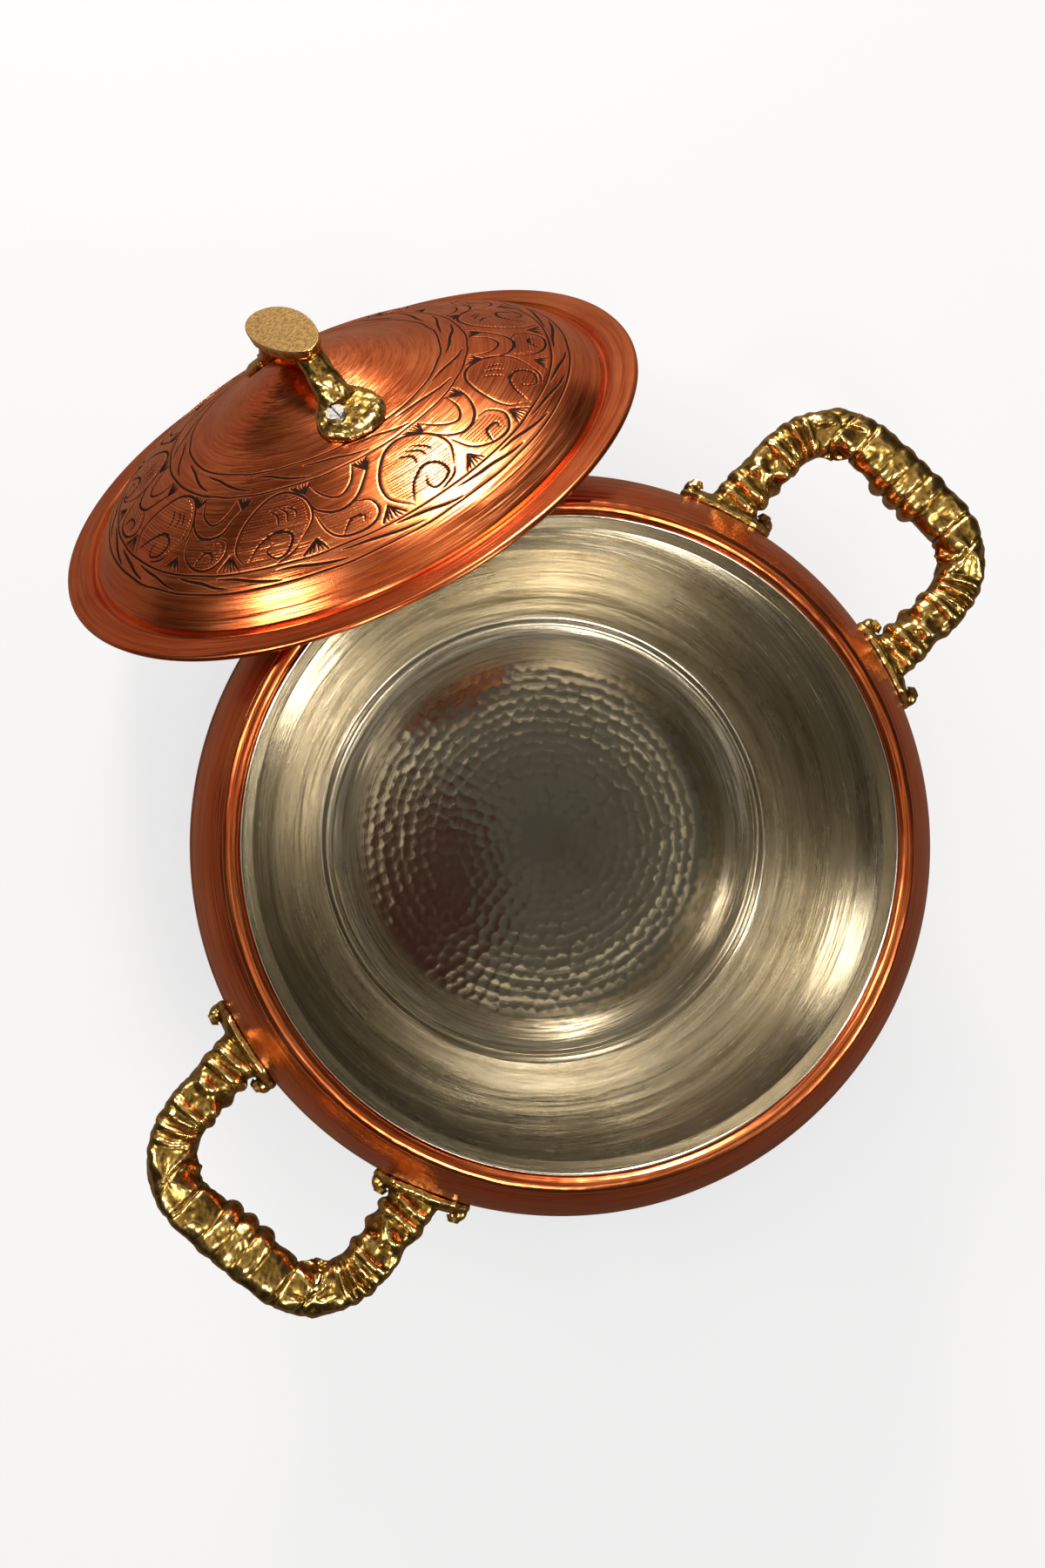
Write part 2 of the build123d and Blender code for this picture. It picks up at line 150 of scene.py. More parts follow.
class HandleSizes(PropertyGroup):
    """Sizes of the cast handles."""

    reach: length("Reach", 161.0, "Distance of the bar's centre line from the pot's axis")
    half_width: length("Half width", 36.5, "Half the distance between the two legs")
    corner: length("Corner", 21.0, "Radius of the loop's corners")
    height: length("Height", 104.0, "Height of the feet over the floor")
    skew: angle("Skew", 4, "Turn of the left handle from straight across")
    rise: angle("Rise", 14, "Upward tilt of the loop")
    bar: length("Bar", 7.3, "Half thickness of the bar")
    pad_length: length("Pad length", 31.0, "Length of a foot along the wall")
    pad_width: length("Pad width", 17.0, "Height of a foot on the wall")
    pad_thickness: length("Pad thickness", 4.2, "Thickness of a foot")


class Finishes(PropertyGroup):
    """Colours of the metals and of the stage."""

    copper: colour("Copper", (0.72, 0.150, 0.045), "Brushed copper")
    copper_pale: colour("Pale copper", (0.86, 0.26, 0.095), "Rubbed places of the copper")
    copper_dark: colour("Dark copper", (0.38, 0.050, 0.012), "Toned places of the copper")
    cut: colour("Cuts", (0.012, 0.006, 0.005), "Blackened engraving")
    tin: colour("Tin", (0.70, 0.665, 0.58), "Wiped tin")
    tin_dark: colour("Dark tin", (0.33, 0.28, 0.19), "Brown film on the tin")
    brass: colour("Brass", (0.31, 0.19, 0.045), "Raw cast brass")
    brass_bright: colour("Bright brass", (0.64, 0.43, 0.15), "Rubbed brass")
    # Patina and painted shade in the hollows of the casting
    brass_patina_and_shade: colour("Dark brass", (0.07, 0.03, 0.006), "Hollows of the casting")
    steel: colour("Steel", (0.55, 0.56, 0.58), "Turned steel")
    floor: colour("Floor", (0.08, 0.08, 0.083), "Floor of the stage")
    floor_glow: colour("Floor glow", (0.79, 0.79, 0.795), "Even light of the floor before the camera")
    floor_mirrored: colour("Mirrored floor", (0.115, 0.082, 0.062), "Floor as the metals see it")


class StageSettings(PropertyGroup):
    """Place of the camera and strength of the lights."""

    camera_place: FloatVectorProperty(
        name="Camera place", description="Place of the camera", default=(-0.01902, 0.02411, 0.46431), size=3,
        subtype="TRANSLATION",
    )
    camera_tilt: FloatVectorProperty(
        name="Camera tilt", description="Small turns of the camera from straight down, about its own axes",
        default=(-0.04253, 0.04666), size=2, subtype="NONE",
    )
    handle_turn: angle("Handle turn", 46.14, "Direction of the right handle in the picture")
    lens: FloatProperty(name="Lens", description="Focal length on a 36 mm long side", default=25.33, min=1.0)
    world: FloatProperty(name="World", description="Strength of the room's light", default=0.03, min=0.0)


class CopperPotSettings(PropertyGroup):
    """All settings of the pot."""

    pot: PointerProperty(type=PotSizes)
    lid: PointerProperty(type=LidSizes)
    handle: PointerProperty(type=HandleSizes)
    finish: PointerProperty(type=Finishes)
    stage: PointerProperty(type=StageSettings)


def sizes(part):
    """One group of the settings, with its lengths in millimetres."""
    group = getattr(bpy.context.scene.copper_pot, part)
    values = {}
    for key in type(group).__annotations__:
        value = getattr(group, key)
        in_metres = group.bl_rna.properties[key].unit == "LENGTH" and isinstance(value, float)
        values[key] = round(value / MM, 4) if in_metres else value
    return SimpleNamespace(**values)


# Meshes made of rows of points round an axis
def fill_mesh(name, vertices, quads, triangles=()):
    """Make an object from arrays of vertices, quads and triangles."""
    quads = np.asarray(quads, dtype=np.int32).reshape(-1, 4)
    triangles = np.asarray(triangles, dtype=np.int32).reshape(-1, 3)
    corners = np.concatenate([quads.ravel(), triangles.ravel()])
    starts = np.concatenate([
        np.arange(len(quads)) * 4,
        len(quads) * 4 + np.arange(len(triangles)) * 3,
    ])
    mesh = bpy.data.meshes.new(name)
    mesh.vertices.add(len(vertices))
    mesh.vertices.foreach_set("co", np.asarray(vertices, dtype=np.float32).ravel())
    mesh.loops.add(len(corners))
    mesh.loops.foreach_set("vertex_index", corners)
    mesh.polygons.add(len(starts))
    mesh.polygons.foreach_set("loop_start", starts.astype(np.int32))
    mesh.update(calc_edges=True)
    mesh.validate()
    mesh.shade_smooth()
    piece = bpy.data.objects.new(name, mesh)
    bpy.context.scene.collection.objects.link(piece)
    return piece


def add_attribute(piece, name, values):
    """Store one number for each point of a piece."""
    layer = piece.data.attributes.new(name, "FLOAT", "POINT")
    layer.data.foreach_set("value", np.asarray(values, dtype=np.float32).ravel())


def turned_piece(name, rows, segments, attributes):
    """Close rows of points, rows x segments x 3, into a skin with a point at each end on the axis."""
    count = len(rows)
    step = np.arange(segments)
    ahead = (step + 1) % segments
    base = (np.arange(count - 1) * segments)[:, None]
    quads = np.stack([base + step, base + ahead, base + segments + ahead, base + segments + step], axis=2)
    first = rows[0].mean(axis=0)
    last = rows[-1].mean(axis=0)
    vertices = np.concatenate([rows.reshape(-1, 3), [first, last]])
    pole = count * segments
    end = (count - 1) * segments
    fans = np.concatenate([
        np.stack([np.full(segments, pole), ahead, step], axis=1),
        np.stack([np.full(segments, pole + 1), end + step, end + ahead], axis=1),
    ])
    piece = fill_mesh(name, vertices, quads.reshape(-1, 4), fans)
    for label, values in attributes.items():
        ends = [values[0].mean(), values[-1].mean()]
        add_attribute(piece, label, np.concatenate([values.ravel(), ends]))
    return piece


def resample(points, spacing):
    """Points along a polyline, no further apart than the spacing, corners kept."""
    out = [points[0]]
    for start, end in zip(points, points[1:]):
        parts = max(1, ceil(hypot(end[0] - start[0], end[1] - start[1]) / spacing))
        for part in range(1, parts + 1):
            share = part / parts
            out.append((start[0] + (end[0] - start[0]) * share, start[1] + (end[1] - start[1]) * share))
    return out


def smooth_curve(points, steps):
    """A Catmull-Rom curve through the points."""
    points = np.asarray(points, dtype=float)
    padded = np.vstack([2 * points[0] - points[1], points, 2 * points[-1] - points[-2]])
    share = np.linspace(0, 1, steps, endpoint=False)[:, None]
    spans = []
    for a, b, c, d in zip(padded, padded[1:], padded[2:], padded[3:]):
        bend = (2 * a - 5 * b + 4 * c - d) * share**2 + (3 * b - a - 3 * c + d) * share**3
        spans.append(0.5 * (2 * b + (c - a) * share + bend))
    spans.append(points[-1:])
    return np.vstack(spans)


def fine_noise(points, scale, seed):
    """Smooth noise from a few plane waves, for the slight unevenness of hand work."""
    chooser = np.random.default_rng(seed)
    total = np.zeros(points.shape[:-1])
    waves = 14
    for _ in range(waves):
        direction = chooser.normal(size=3)
        direction /= np.linalg.norm(direction)
        pace = chooser.uniform(0.6, 1.8) * scale
        total += np.sin(points @ direction * pace + chooser.uniform(0, 2 * pi))
    return total / sqrt(waves)


class Engraving:
    """Depth of cuts, and shade of fine hatching, on a turned surface."""

    def __init__(self, radii, along, segments):
        self.radii = np.asarray(radii)
        self.along = np.asarray(along)
        self.segments = segments
        self.cut = np.zeros((len(radii), segments))
        self.hatch = np.zeros((len(radii), segments))
        self.step = 2 * pi / segments

    def stroke(self, points, width, steps=14, taper=0.6):
        """Cut a line through (angle, along) points, narrow at both ends."""
        curve = smooth_curve(points, steps)
        radius = np.interp(curve[:, 1], self.along, self.radii)
        run = np.hypot(np.diff(curve[:, 0]) * radius[1:], np.diff(curve[:, 1]))
        travel = np.concatenate([[0], np.cumsum(run)])
        if travel[-1] <= 0:
            return
        samples = max(8, int(travel[-1] / 0.16))
        where = np.linspace(0, travel[-1], samples)
        angle = np.interp(where, travel, curve[:, 0])
        place = np.interp(where, travel, curve[:, 1])
        radius = np.interp(place, self.along, self.radii)
        swell = np.clip(np.sin(pi * where / travel[-1]), 0, 1) ** taper
        half = width / 2 * (0.25 + 0.75 * swell)
        row = np.searchsorted(self.along, place)
        column = np.round(angle / self.step).astype(int)
        rows_near = 3
        columns_near = int(ceil(width / (radius.min() * self.step))) + 1
        for down in range(-rows_near, rows_near + 1):
            line = np.clip(row + down, 0, len(self.along) - 1)
            gap_along = self.along[line] - place
            for side in range(-columns_near, columns_near + 1):
                spot = column + side
                gap = np.hypot(gap_along, (spot * self.step - angle) * radius)
                value = np.clip(1.25 - gap / half * 0.85, 0, 1)
                value[gap > half * 1.5] = 0
                np.maximum.at(self.cut, (line, spot % self.segments), value)

    def shade(self, outline):
        """Mark the inside of a closed (angle, along) outline as hatched."""
        curve = smooth_curve(list(outline) + [outline[0]], 8)
        low = np.searchsorted(self.along, curve[:, 1].min())
        high = np.searchsorted(self.along, curve[:, 1].max())
        first = int(curve[:, 0].min() / self.step)
        last = int(curve[:, 0].max() / self.step) + 1
        columns = np.arange(first, last)
        angle, place = np.meshgrid(columns * self.step, self.along[low:high])
        inside = np.zeros(angle.shape, dtype=bool)
        for (a0, p0), (a1, p1) in zip(curve, curve[1:]):
            if p0 == p1:
                continue
            crosses = (place < p0) != (place < p1)
            inside ^= crosses & (angle < a0 + (place - p0) * (a1 - a0) / (p1 - p0))
        spots = np.ix_(np.arange(low, high), columns % self.segments)
        self.hatch[spots] = np.maximum(self.hatch[spots], inside)


# One unit of the scroll ornament, in shares of the unit's width and of the band's height
LEAF = [
    (0.11, 0.06), (0.03, 0.30), (0.06, 0.62),
    (0.19, 0.88), (0.37, 0.93), (0.52, 0.76), (0.56, 0.47), (0.46, 0.20),
]
LEAF_SHADE = [
    (0.12, 0.14), (0.06, 0.34), (0.10, 0.64),
    (0.21, 0.85), (0.36, 0.88), (0.49, 0.72), (0.51, 0.45), (0.40, 0.18),
]
CURL = [
    (0.13, 0.10), (0.20, 0.30), (0.31, 0.42),
    (0.40, 0.34), (0.39, 0.16), (0.30, 0.10), (0.25, 0.20), (0.29, 0.28),
]
LEAF_TAIL = [(0.46, 0.20), (0.40, 0.10), (0.30, 0.04)]
VEINS = [
    [(0.24, 0.72), (0.30, 0.62), (0.31, 0.50)],
    [(0.31, 0.74), (0.37, 0.64), (0.38, 0.52)],
    [(0.38, 0.73), (0.43, 0.64), (0.44, 0.56)],
]
VINE = [(0.52, 0.76), (0.60, 0.55), (0.72, 0.44), (0.86, 0.50), (0.96, 0.70), (1.06, 0.92)]
BUD = [(0.58, 0.50), (0.62, 0.24), (0.72, 0.08), (0.86, 0.07), (0.95, 0.22), (0.93, 0.40), (0.84, 0.47)]
BUD_SHADE = [(0.62, 0.44), (0.66, 0.24), (0.74, 0.13), (0.85, 0.12), (0.91, 0.24), (0.89, 0.38), (0.78, 0.44)]
BUD_CURL = [(0.72, 0.10), (0.78, 0.26), (0.86, 0.25), (0.85, 0.16)]
UPPER_LEAF = [(0.56, 0.96), (0.64, 0.72), (0.76, 0.62), (0.87, 0.74), (0.92, 0.96)]
# The strokes of a unit in the order they are cut, with their widths in millimetres
STROKES = [
    (LEAF, 1.05), (CURL, 0.95), (LEAF_TAIL, 0.8), (VINE, 1.05),
    (BUD, 0.95), (BUD_CURL, 0.8), (UPPER_LEAF, 0.9),
    *((vein, 0.75) for vein in VEINS),
]
# Fans of short lines between the leaves: left and right foot, then the tip
TRIANGLES = [
    [(0.40, 0.97), (0.56, 0.97), (0.52, 0.82)],
    [(0.92, 0.97), (1.05, 0.97), (1.00, 0.80)],
    [(0.47, 0.03), (0.61, 0.03), (0.56, 0.20)],
    [(0.93, 0.03), (1.07, 0.03), (1.00, 0.22)],
]
TRIANGLE_LINES = 6
HAND_SHAKE = 0.012
FINE_SHAKE = 0.004


def engrave_border(field, start, end, dashes, chooser):
    """Two lines round the surface with wavy dashes between them."""
    turns = np.linspace(0, 2 * pi, 61)
    for place in (start, end):
        wobble = chooser.uniform(-0.22, 0.22, size=len(turns))
        wobble[-1] = wobble[0]
        field.stroke(np.column_stack([turns, place + wobble]), 0.75, steps=10, taper=0.05)
    middle = (start + end) / 2
    height = abs(end - start)
    for index in range(dashes):
        angle = 2 * pi * (index + chooser.uniform(-0.12, 0.12)) / dashes
        span = 2 * pi / dashes * chooser.uniform(1.05, 1.3)
        sway = height * chooser.uniform(0.26, 0.34)
        bend = height * chooser.uniform(0.02, 0.08)
        dash = [
            (angle, middle - sway),
            (angle + span * 0.30, middle - sway * 0.80 + bend),
            (angle + span * 0.52, middle - bend),
            (angle + span * 0.76, middle + sway * 0.55),
            (angle + span, middle + sway),
        ]
        field.stroke(dash, chooser.uniform(0.95, 1.2))


def engrave_scrolls(field, start, end, units, chooser):
    """Scrolling leaves between two borders, each unit a little different."""
    width = 2 * pi / units

    for unit in range(units):
        def place(points, shake=HAND_SHAKE):
            moved = np.asarray(points, dtype=float)
            moved = moved + chooser.uniform(-shake, shake, size=moved.shape)
            return np.column_stack([(unit + moved[:, 0]) * width, start + moved[:, 1] * (end - start)])

        for points, size in STROKES:
            field.stroke(place(points), size)
        for shade in (LEAF_SHADE, BUD_SHADE):
            field.shade(place(shade, 0.0))
        for left, right, tip in TRIANGLES:
            for share in np.linspace(0, 1, TRIANGLE_LINES):
                foot = (left[0] + (right[0] - left[0]) * share, left[1])
                reach = 0.9 - 0.5 * abs(share - 0.5)
                head = (foot[0] + (tip[0] - foot[0]) * reach, foot[1] + (tip[1] - foot[1]) * reach)
                field.stroke(place([foot, head], FINE_SHAKE), 0.6, steps=6, taper=0.2)
            for edge in ([left, tip], [tip, right]):
                field.stroke(place(edge, FINE_SHAKE), 0.7, taper=0.2)


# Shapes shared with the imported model
def wall_arc(height):
    """Radius of the arc that the wall follows at a height: one under the belly, one over it."""
    pot = sizes("pot")
    if height > pot.belly_height:
        run = pot.belly_radius - pot.lip_ring
        rise = pot.height - pot.lip_bead - pot.belly_height
    else:
        run = pot.belly_radius - pot.foot_radius - pot.foot_ledge
        rise = pot.belly_height - pot.foot_height
    return (run**2 + rise**2) / (2 * run)


def wall_radius(height, inset):
    """Radius of the wall at a height, inset from its outer face."""
    pot = sizes("pot")
    arc = wall_arc(height)
    return pot.belly_radius - arc + sqrt((arc - inset) ** 2 - (height - pot.belly_height) ** 2)


def wall_line(low, high, inset, spacing):
    """Points of the wall from a low to a high place."""
    count = max(2, ceil((high - low) / spacing))
    heights = [low + (high - low) * step / count for step in range(count + 1)]
    return [(wall_radius(height, inset), height) for height in heights]


# Outline of the dome, in shares of its base radius and height
DOME = [
    (1.0, 0.0), (0.906, 0.197), (0.735, 0.423), (0.578, 0.568),
    (0.476, 0.638), (0.378, 0.707), (0.21, 0.878), (0.0, 1.0),
]
DOME_STEPS = 60


def travelled(line):
    """Distance along a line at each of its points."""
    return np.concatenate([[0], np.cumsum(np.hypot(*np.diff(line, axis=0).T))])


def side_normals(line):
    """Unit vectors square to a line, on its right."""
    slope = np.gradient(line, axis=0)
    normal = np.column_stack([slope[:, 1], -slope[:, 0]])
    return normal / np.maximum(np.linalg.norm(normal, axis=1)[:, None], 1e-9)


def even_line(line, count):
    """The line again, with its points evenly spaced, and the distance at each."""
    travel = travelled(line)
    even = np.linspace(0, travel[-1], count)
    return np.column_stack([np.interp(even, travel, line[:, 0]), np.interp(even, travel, line[:, 1])]), even


def dome_line(depth, spacing):
    """Points of the dome from base to peak, at a depth under its outer face."""
    lid = sizes("lid")
    knots = np.array(DOME) * [lid.ring_inner, lid.dome_height]
    mirrored = knots[-2] * [-1, 1]
    curve = smooth_curve([*knots, mirrored], DOME_STEPS)[: DOME_STEPS * (len(DOME) - 1) + 1]
    curve = curve - side_normals(curve) * depth
    curve[-1, 0] = 0.0
    count = max(8, int(travelled(curve)[-1] / spacing))
    return [tuple(point) for point in even_line(curve, count)[0].tolist()]


def turned_rows(profile, segments):
    """Rows of points from a (radius, height) profile, with unit vectors outward from its skin."""
    profile = np.asarray(profile)
    angle = np.arange(segments) * 2 * pi / segments
    wheel = np.stack([np.cos(angle), np.sin(angle)], axis=1)

    def turned(line):
        rows = np.zeros((len(line), segments, 3))
        rows[..., :2] = line[:, 0][:, None, None] * wheel
        rows[..., 2] = line[:, 1][:, None]
        return rows

    return turned(profile), turned(side_normals(profile)), travelled(profile)


def set_down(piece, matrix):
    """Keep the places in the piece's own frame for its material, then move its mesh to the row frame."""
    own = read_layer(piece.data.vertices, "co", 3)
    layer = piece.data.attributes.new("own_place", "FLOAT_VECTOR", "POINT")
    layer.data.foreach_set("vector", own.astype(np.float32).ravel())
    piece.data.transform(matrix)


def shaped(name, rows, segments, matrix, body, replaced, attributes):
    """Close rows into a piece that rides its body in place of its CAD node."""
    piece = turned_piece(name, rows * MM, segments, attributes)
    set_down(piece, matrix)
    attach(piece, body)
    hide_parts(replaced)
    return piece


# Sizes of the meshes, in millimetres where they aren't counts
CUT_DEPTH = 0.16
POT_SEGMENTS = 1440
TIN_SEGMENTS = 720
FINE_ROWS = 0.42
COARSE_ROWS = 12.0
AXIS_HOLE = 0.5
LIP_START = -60
LIP_STEP = 12
LIP_STEPS = 17
POT_UNITS = 14


def engraved(shape, first, radii, travel, borders, scrolls, seed):
    """Cuts and hatching for rows of a turned skin, from its row first on."""
    field = Engraving(radii, travel, POT_SEGMENTS)
    chooser = np.random.default_rng(seed)
    for start, end, dashes in borders:
        engrave_border(field, start, end, dashes, chooser)
    engrave_scrolls(field, *scrolls, chooser)
    cut = np.zeros(shape)
    hatch = np.zeros(shape)
    rows = slice(first, first + len(radii))
    cut[rows] = field.cut
    hatch[rows] = field.hatch
    return cut, hatch


def make_pot_copper():
    """The copper of the pot, with the engraved belt round its belly."""
    pot = sizes("pot")
    lip_height = pot.height - pot.lip_bead
    ledge = pot.foot_radius + pot.foot_ledge
    top = pot.ornament_top
    bottom = pot.ornament_bottom
    turns = [radians(LIP_START + step * LIP_STEP) for step in range(LIP_STEPS)]
    bead = [
        (pot.lip_ring + pot.lip_bead * cos(turn), lip_height + pot.lip_bead * sin(turn))
        for turn in turns
    ]
    outside = resample([
        (AXIS_HOLE, 0), (pot.foot_radius - 1.5, 0), (pot.foot_radius - 0.4, 0.4), (pot.foot_radius, 1.5),
        (pot.foot_radius, pot.foot_height - 0.3), (pot.foot_radius + 0.4, pot.foot_height),
        (ledge, pot.foot_height),
    ], COARSE_ROWS)
    wall = wall_line(pot.foot_height, bottom - 6, 0, 2.0)
    wall += wall_line(bottom - 6, top + 4, 0, FINE_ROWS)[1:]
    wall += wall_line(top + 4, lip_height - pot.lip_bead * 0.85, 0, 1.2)[1:]
    throat = [
        (pot.throat_radius, pot.height - pot.throat_depth),
        (pot.throat_radius + pot.sheet, pot.height - pot.throat_depth - pot.sheet),
    ]
    shelf = pot.foot_height + pot.sheet
    inside = wall_line(shelf, lip_height - pot.lip_bead - pot.sheet, pot.sheet, 9.0)[::-1]
    step = pot.foot_radius - pot.sheet
    floor = [(step, shelf), (step, pot.sheet), (AXIS_HOLE, pot.sheet)]
    start = len(outside)
    profile = np.array(outside + wall[1:] + bead + throat + inside + floor)
    rows, outward, travel = turned_rows(profile, POT_SEGMENTS)
    low = start + int(np.argmax(profile[start:, 1] >= bottom - 4))
    high = start + int(np.argmax(profile[start:, 1] >= top + 2))

    def at(height):
        return float(np.interp(height, profile[low:high, 1], travel[low:high]))

    borders = [(at(bottom), at(bottom + pot.border), 40), (at(top - pot.border), at(top), 40)]
    scrolls = (at(bottom + pot.border), at(top - pot.border), POT_UNITS)
    cut, hatch = engraved(rows.shape[:2], low, profile[low:high, 0], travel[low:high], borders, scrolls, 31)
    # The sheet is a little uneven by hand, and the rolled lip more so
    uneven = fine_noise(rows, scale=0.045, seed=5) * 0.10
    uneven[: start + 2] = 0
    first_lip = start + len(wall) - 1
    last_lip = first_lip + len(bead)
    uneven[last_lip:] = 0
    lip = rows[first_lip:last_lip]
    dents = fine_noise(lip, scale=0.16, seed=8) * 0.10 + fine_noise(lip, scale=0.9, seed=9) * 0.03
    uneven[first_lip:last_lip] += dents - 0.12
    rows = rows + outward * (uneven - cut * CUT_DEPTH)[..., None]
    along = np.repeat(travel[:, None], POT_SEGMENTS, axis=1)
    return shaped(
        "pot_copper_skin", rows, POT_SEGMENTS, Matrix.Identity(4), "pot", "pot_body",
        {"cut": cut, "hatch": hatch, "along": along},
    )


def hammer_marks(rows, radius, pitch, depth):
    """Height of the hammered field: rows of round dimples that meet in low ridges."""
    chooser = np.random.default_rng(12)
    centres = []
    ring = pitch * 2.4
    while ring < radius:
        count = max(6, int(round(2 * pi * ring / pitch)))
        shift = chooser.uniform(0, 2 * pi)
        for index in range(count):
            turn = shift + 2 * pi * index / count + chooser.normal(0, 0.10) * pitch / ring
            away = ring + chooser.normal(0, 0.10) * pitch
            centres.append((away * cos(turn), away * sin(turn), chooser.uniform(0.6, 1.15)))
        ring += pitch * 0.88
    centres = np.array(centres)
    height = np.zeros(rows.shape[:2])
    reach = pitch * 0.60
    for index in range(len(rows)):
        spots = rows[index, :, :2]
        away = np.hypot(*spots[0])
        near = np.abs(np.hypot(centres[:, 0], centres[:, 1]) - away) < pitch
        if not near.any():
            continue
        marks = centres[near]
        gap = np.hypot(spots[:, None, 0] - marks[:, 0], spots[:, None, 1] - marks[:, 1])
        bowl = (1 - (gap / reach) ** 2) * marks[:, 2]
        height[index] = -depth * np.clip(bowl.max(axis=1), 0, None)
    return height


COVE_START = 82.0
COVE_RADIUS = 30.0
CROWN_RADIUS = 60.0
CROWN_HEIGHT = 0.5


def tin_side(depth, spacing, floor_spacing):
    """Profile of one side of the tin, from the lip down the wall and over the base."""
    pot = sizes("pot")
    lip_height = pot.height - pot.lip_bead
    low = pot.foot_height + pot.sheet + depth
    join = lip_height - pot.lip_bead - pot.sheet - depth
    line = resample([
        (pot.lip_ring - pot.lip_bead - depth, lip_height + pot.lip_bead / 2),
        (pot.throat_radius - depth, pot.height - pot.throat_depth),
        (pot.throat_radius + pot.sheet - depth, pot.height - pot.throat_depth - pot.sheet - depth),
    ], 0.9)
    line += wall_line(low, join, pot.sheet + depth, spacing)[::-1]
    edge = pot.foot_radius - pot.sheet - depth
    floor = pot.sheet + depth
    line += [(edge + 0.5, low), (edge, low - 0.5), (edge, floor)]
    return resample(line, spacing) + resample([(edge, floor), (AXIS_HOLE, floor)], floor_spacing)[1:]


def make_pot_tin():
    """The tin inside the pot, hammered on the base and wiped on the wall."""
    pot = sizes("pot")
    back = tin_side(pot.bond, 9.0, COARSE_ROWS)[::-1]
    front = tin_side(pot.bond + pot.tin, 1.0, 0.619)
    profile = np.array(back + front)
    rows, outward, travel = turned_rows(profile, TIN_SEGMENTS)
    front_rows = np.arange(len(back), len(profile))
    radii, heights = profile[front_rows].T
    floor_rows = front_rows[(radii < pot.foot_radius - pot.sheet - 0.6) & (heights < pot.foot_height)]
    marks = hammer_marks(rows[floor_rows], pot.hammered_radius, pot.dimple_pitch, pot.dimple_depth)
    floor_radius = profile[floor_rows, 0]
    # The base crowns in its middle and curls up at its rim, and the marks fade at both
    dish = np.clip(floor_radius - COVE_START, 0, None) ** 2 / (2 * COVE_RADIUS)
    crown = np.clip(1 - floor_radius / CROWN_RADIUS, 0, 1) * CROWN_HEIGHT
    fade = np.clip((pot.hammered_radius + 1 - floor_radius) / 5, 0, 1)
    fade = fade * np.clip((floor_radius - 6) / 22, 0, 1)
    rows[floor_rows, :, 2] += marks * fade[:, None] + (dish + crown + pot.dimple_depth * fade)[:, None]
    # Faint turns and sways of the wiped wall
    wall_rows = front_rows[heights > pot.foot_height + pot.sheet + 1]
    sway = fine_noise(rows[wall_rows], scale=0.06, seed=21) * 0.12 + 0.13
    turn = np.sin(rows[wall_rows][..., 2] * 0.55) * 0.04
    rows[wall_rows] += outward[wall_rows] * (sway + turn)[..., None]
    along = np.repeat(travel[:, None], TIN_SEGMENTS, axis=1)
    hammered = np.zeros(rows.shape[:2])
    hammered[floor_rows] = (marks / -pot.dimple_depth) * fade[:, None]
    return shaped(
        "pot_tin_skin", rows, TIN_SEGMENTS, Matrix.Identity(4), "pot", "pot_tin_lining",
        {"along": along, "hammered": hammered},
    )


def make_lid_copper(matrix):
    """The copper of the lid: domed, engraved, with a pressed groove and a flat flange."""
    lid = sizes("lid")
    groove = -lid.ring_drop
    bottom = groove - lid.sheet
    slope = 0.5
    rim = resample([
        (lid.ring_inner, 0), (lid.ring_inner + slope, groove + 0.3), (lid.ring_inner + 0.9, groove),
        (lid.ring_outer - 0.9, groove), (lid.ring_outer - slope, groove + 0.3),
        (lid.ring_outer + 0.2, -0.35), (lid.ring_outer + 0.8, 0), (lid.radius - 1.2, 0),
        (lid.radius - 0.4, -0.25), (lid.radius, -0.9), (lid.radius, -1.1), (lid.radius - 0.4, -1.8),
        (lid.radius - 1.0, -lid.flange),
        (lid.ring_outer + slope, -lid.flange), (lid.ring_outer, bottom), (lid.ring_inner, bottom),
    ], 1.6)
    dome = [point for point in dome_line(0.0, 0.36)[::-1] if point[0] > 0.4]
    under = [point for point in dome_line(lid.sheet, 3.0) if point[0] > 0.4]
    profile = np.array(dome[:-1] + rim + under)
    rows, outward, travel = turned_rows(profile, POT_SEGMENTS)
    count = len(dome) - 1
    radii = profile[:count, 0]

    def at(radius):
        return float(np.interp(radius, radii, travel[:count]))

    borders = [
        (at(lid.border_outer_in), at(lid.border_outer), 26),
        (at(lid.border_inner), at(lid.border_inner_out), 17),
    ]
    scrolls = (at(lid.border_outer_in), at(lid.border_inner_out), lid.units)
    cut, hatch = engraved(rows.shape[:2], 0, radii, travel[:count], borders, scrolls, 77)
    uneven = fine_noise(rows, scale=0.05, seed=15) * 0.10 - 0.1
    uneven[count + len(rim):] = 0
    rows = rows - outward * (uneven - cut * CUT_DEPTH)[..., None]
    along = np.repeat(travel[:, None], POT_SEGMENTS, axis=1)
    return shaped(
        "lid_copper_skin", rows, POT_SEGMENTS, matrix, "lid", "lid_shell",
        {"cut": cut, "hatch": hatch, "along": along},
    )


# Cast pieces: rough closed shapes fused into one skin, then given the sand's grain
def ring_tube(name, centres, across, upward, radii):
    """A closed tube: for each centre, a ring of points at the radii, with flat ends."""
    around = radii.shape[1]
    angle = np.arange(around) * 2 * pi / around
    rows = (
        centres[:, None, :]
        + across[:, None, :] * (radii * np.cos(angle))[..., None]
        + upward[:, None, :] * (radii * np.sin(angle))[..., None]
    )
    return turned_piece(name, rows, around, {})


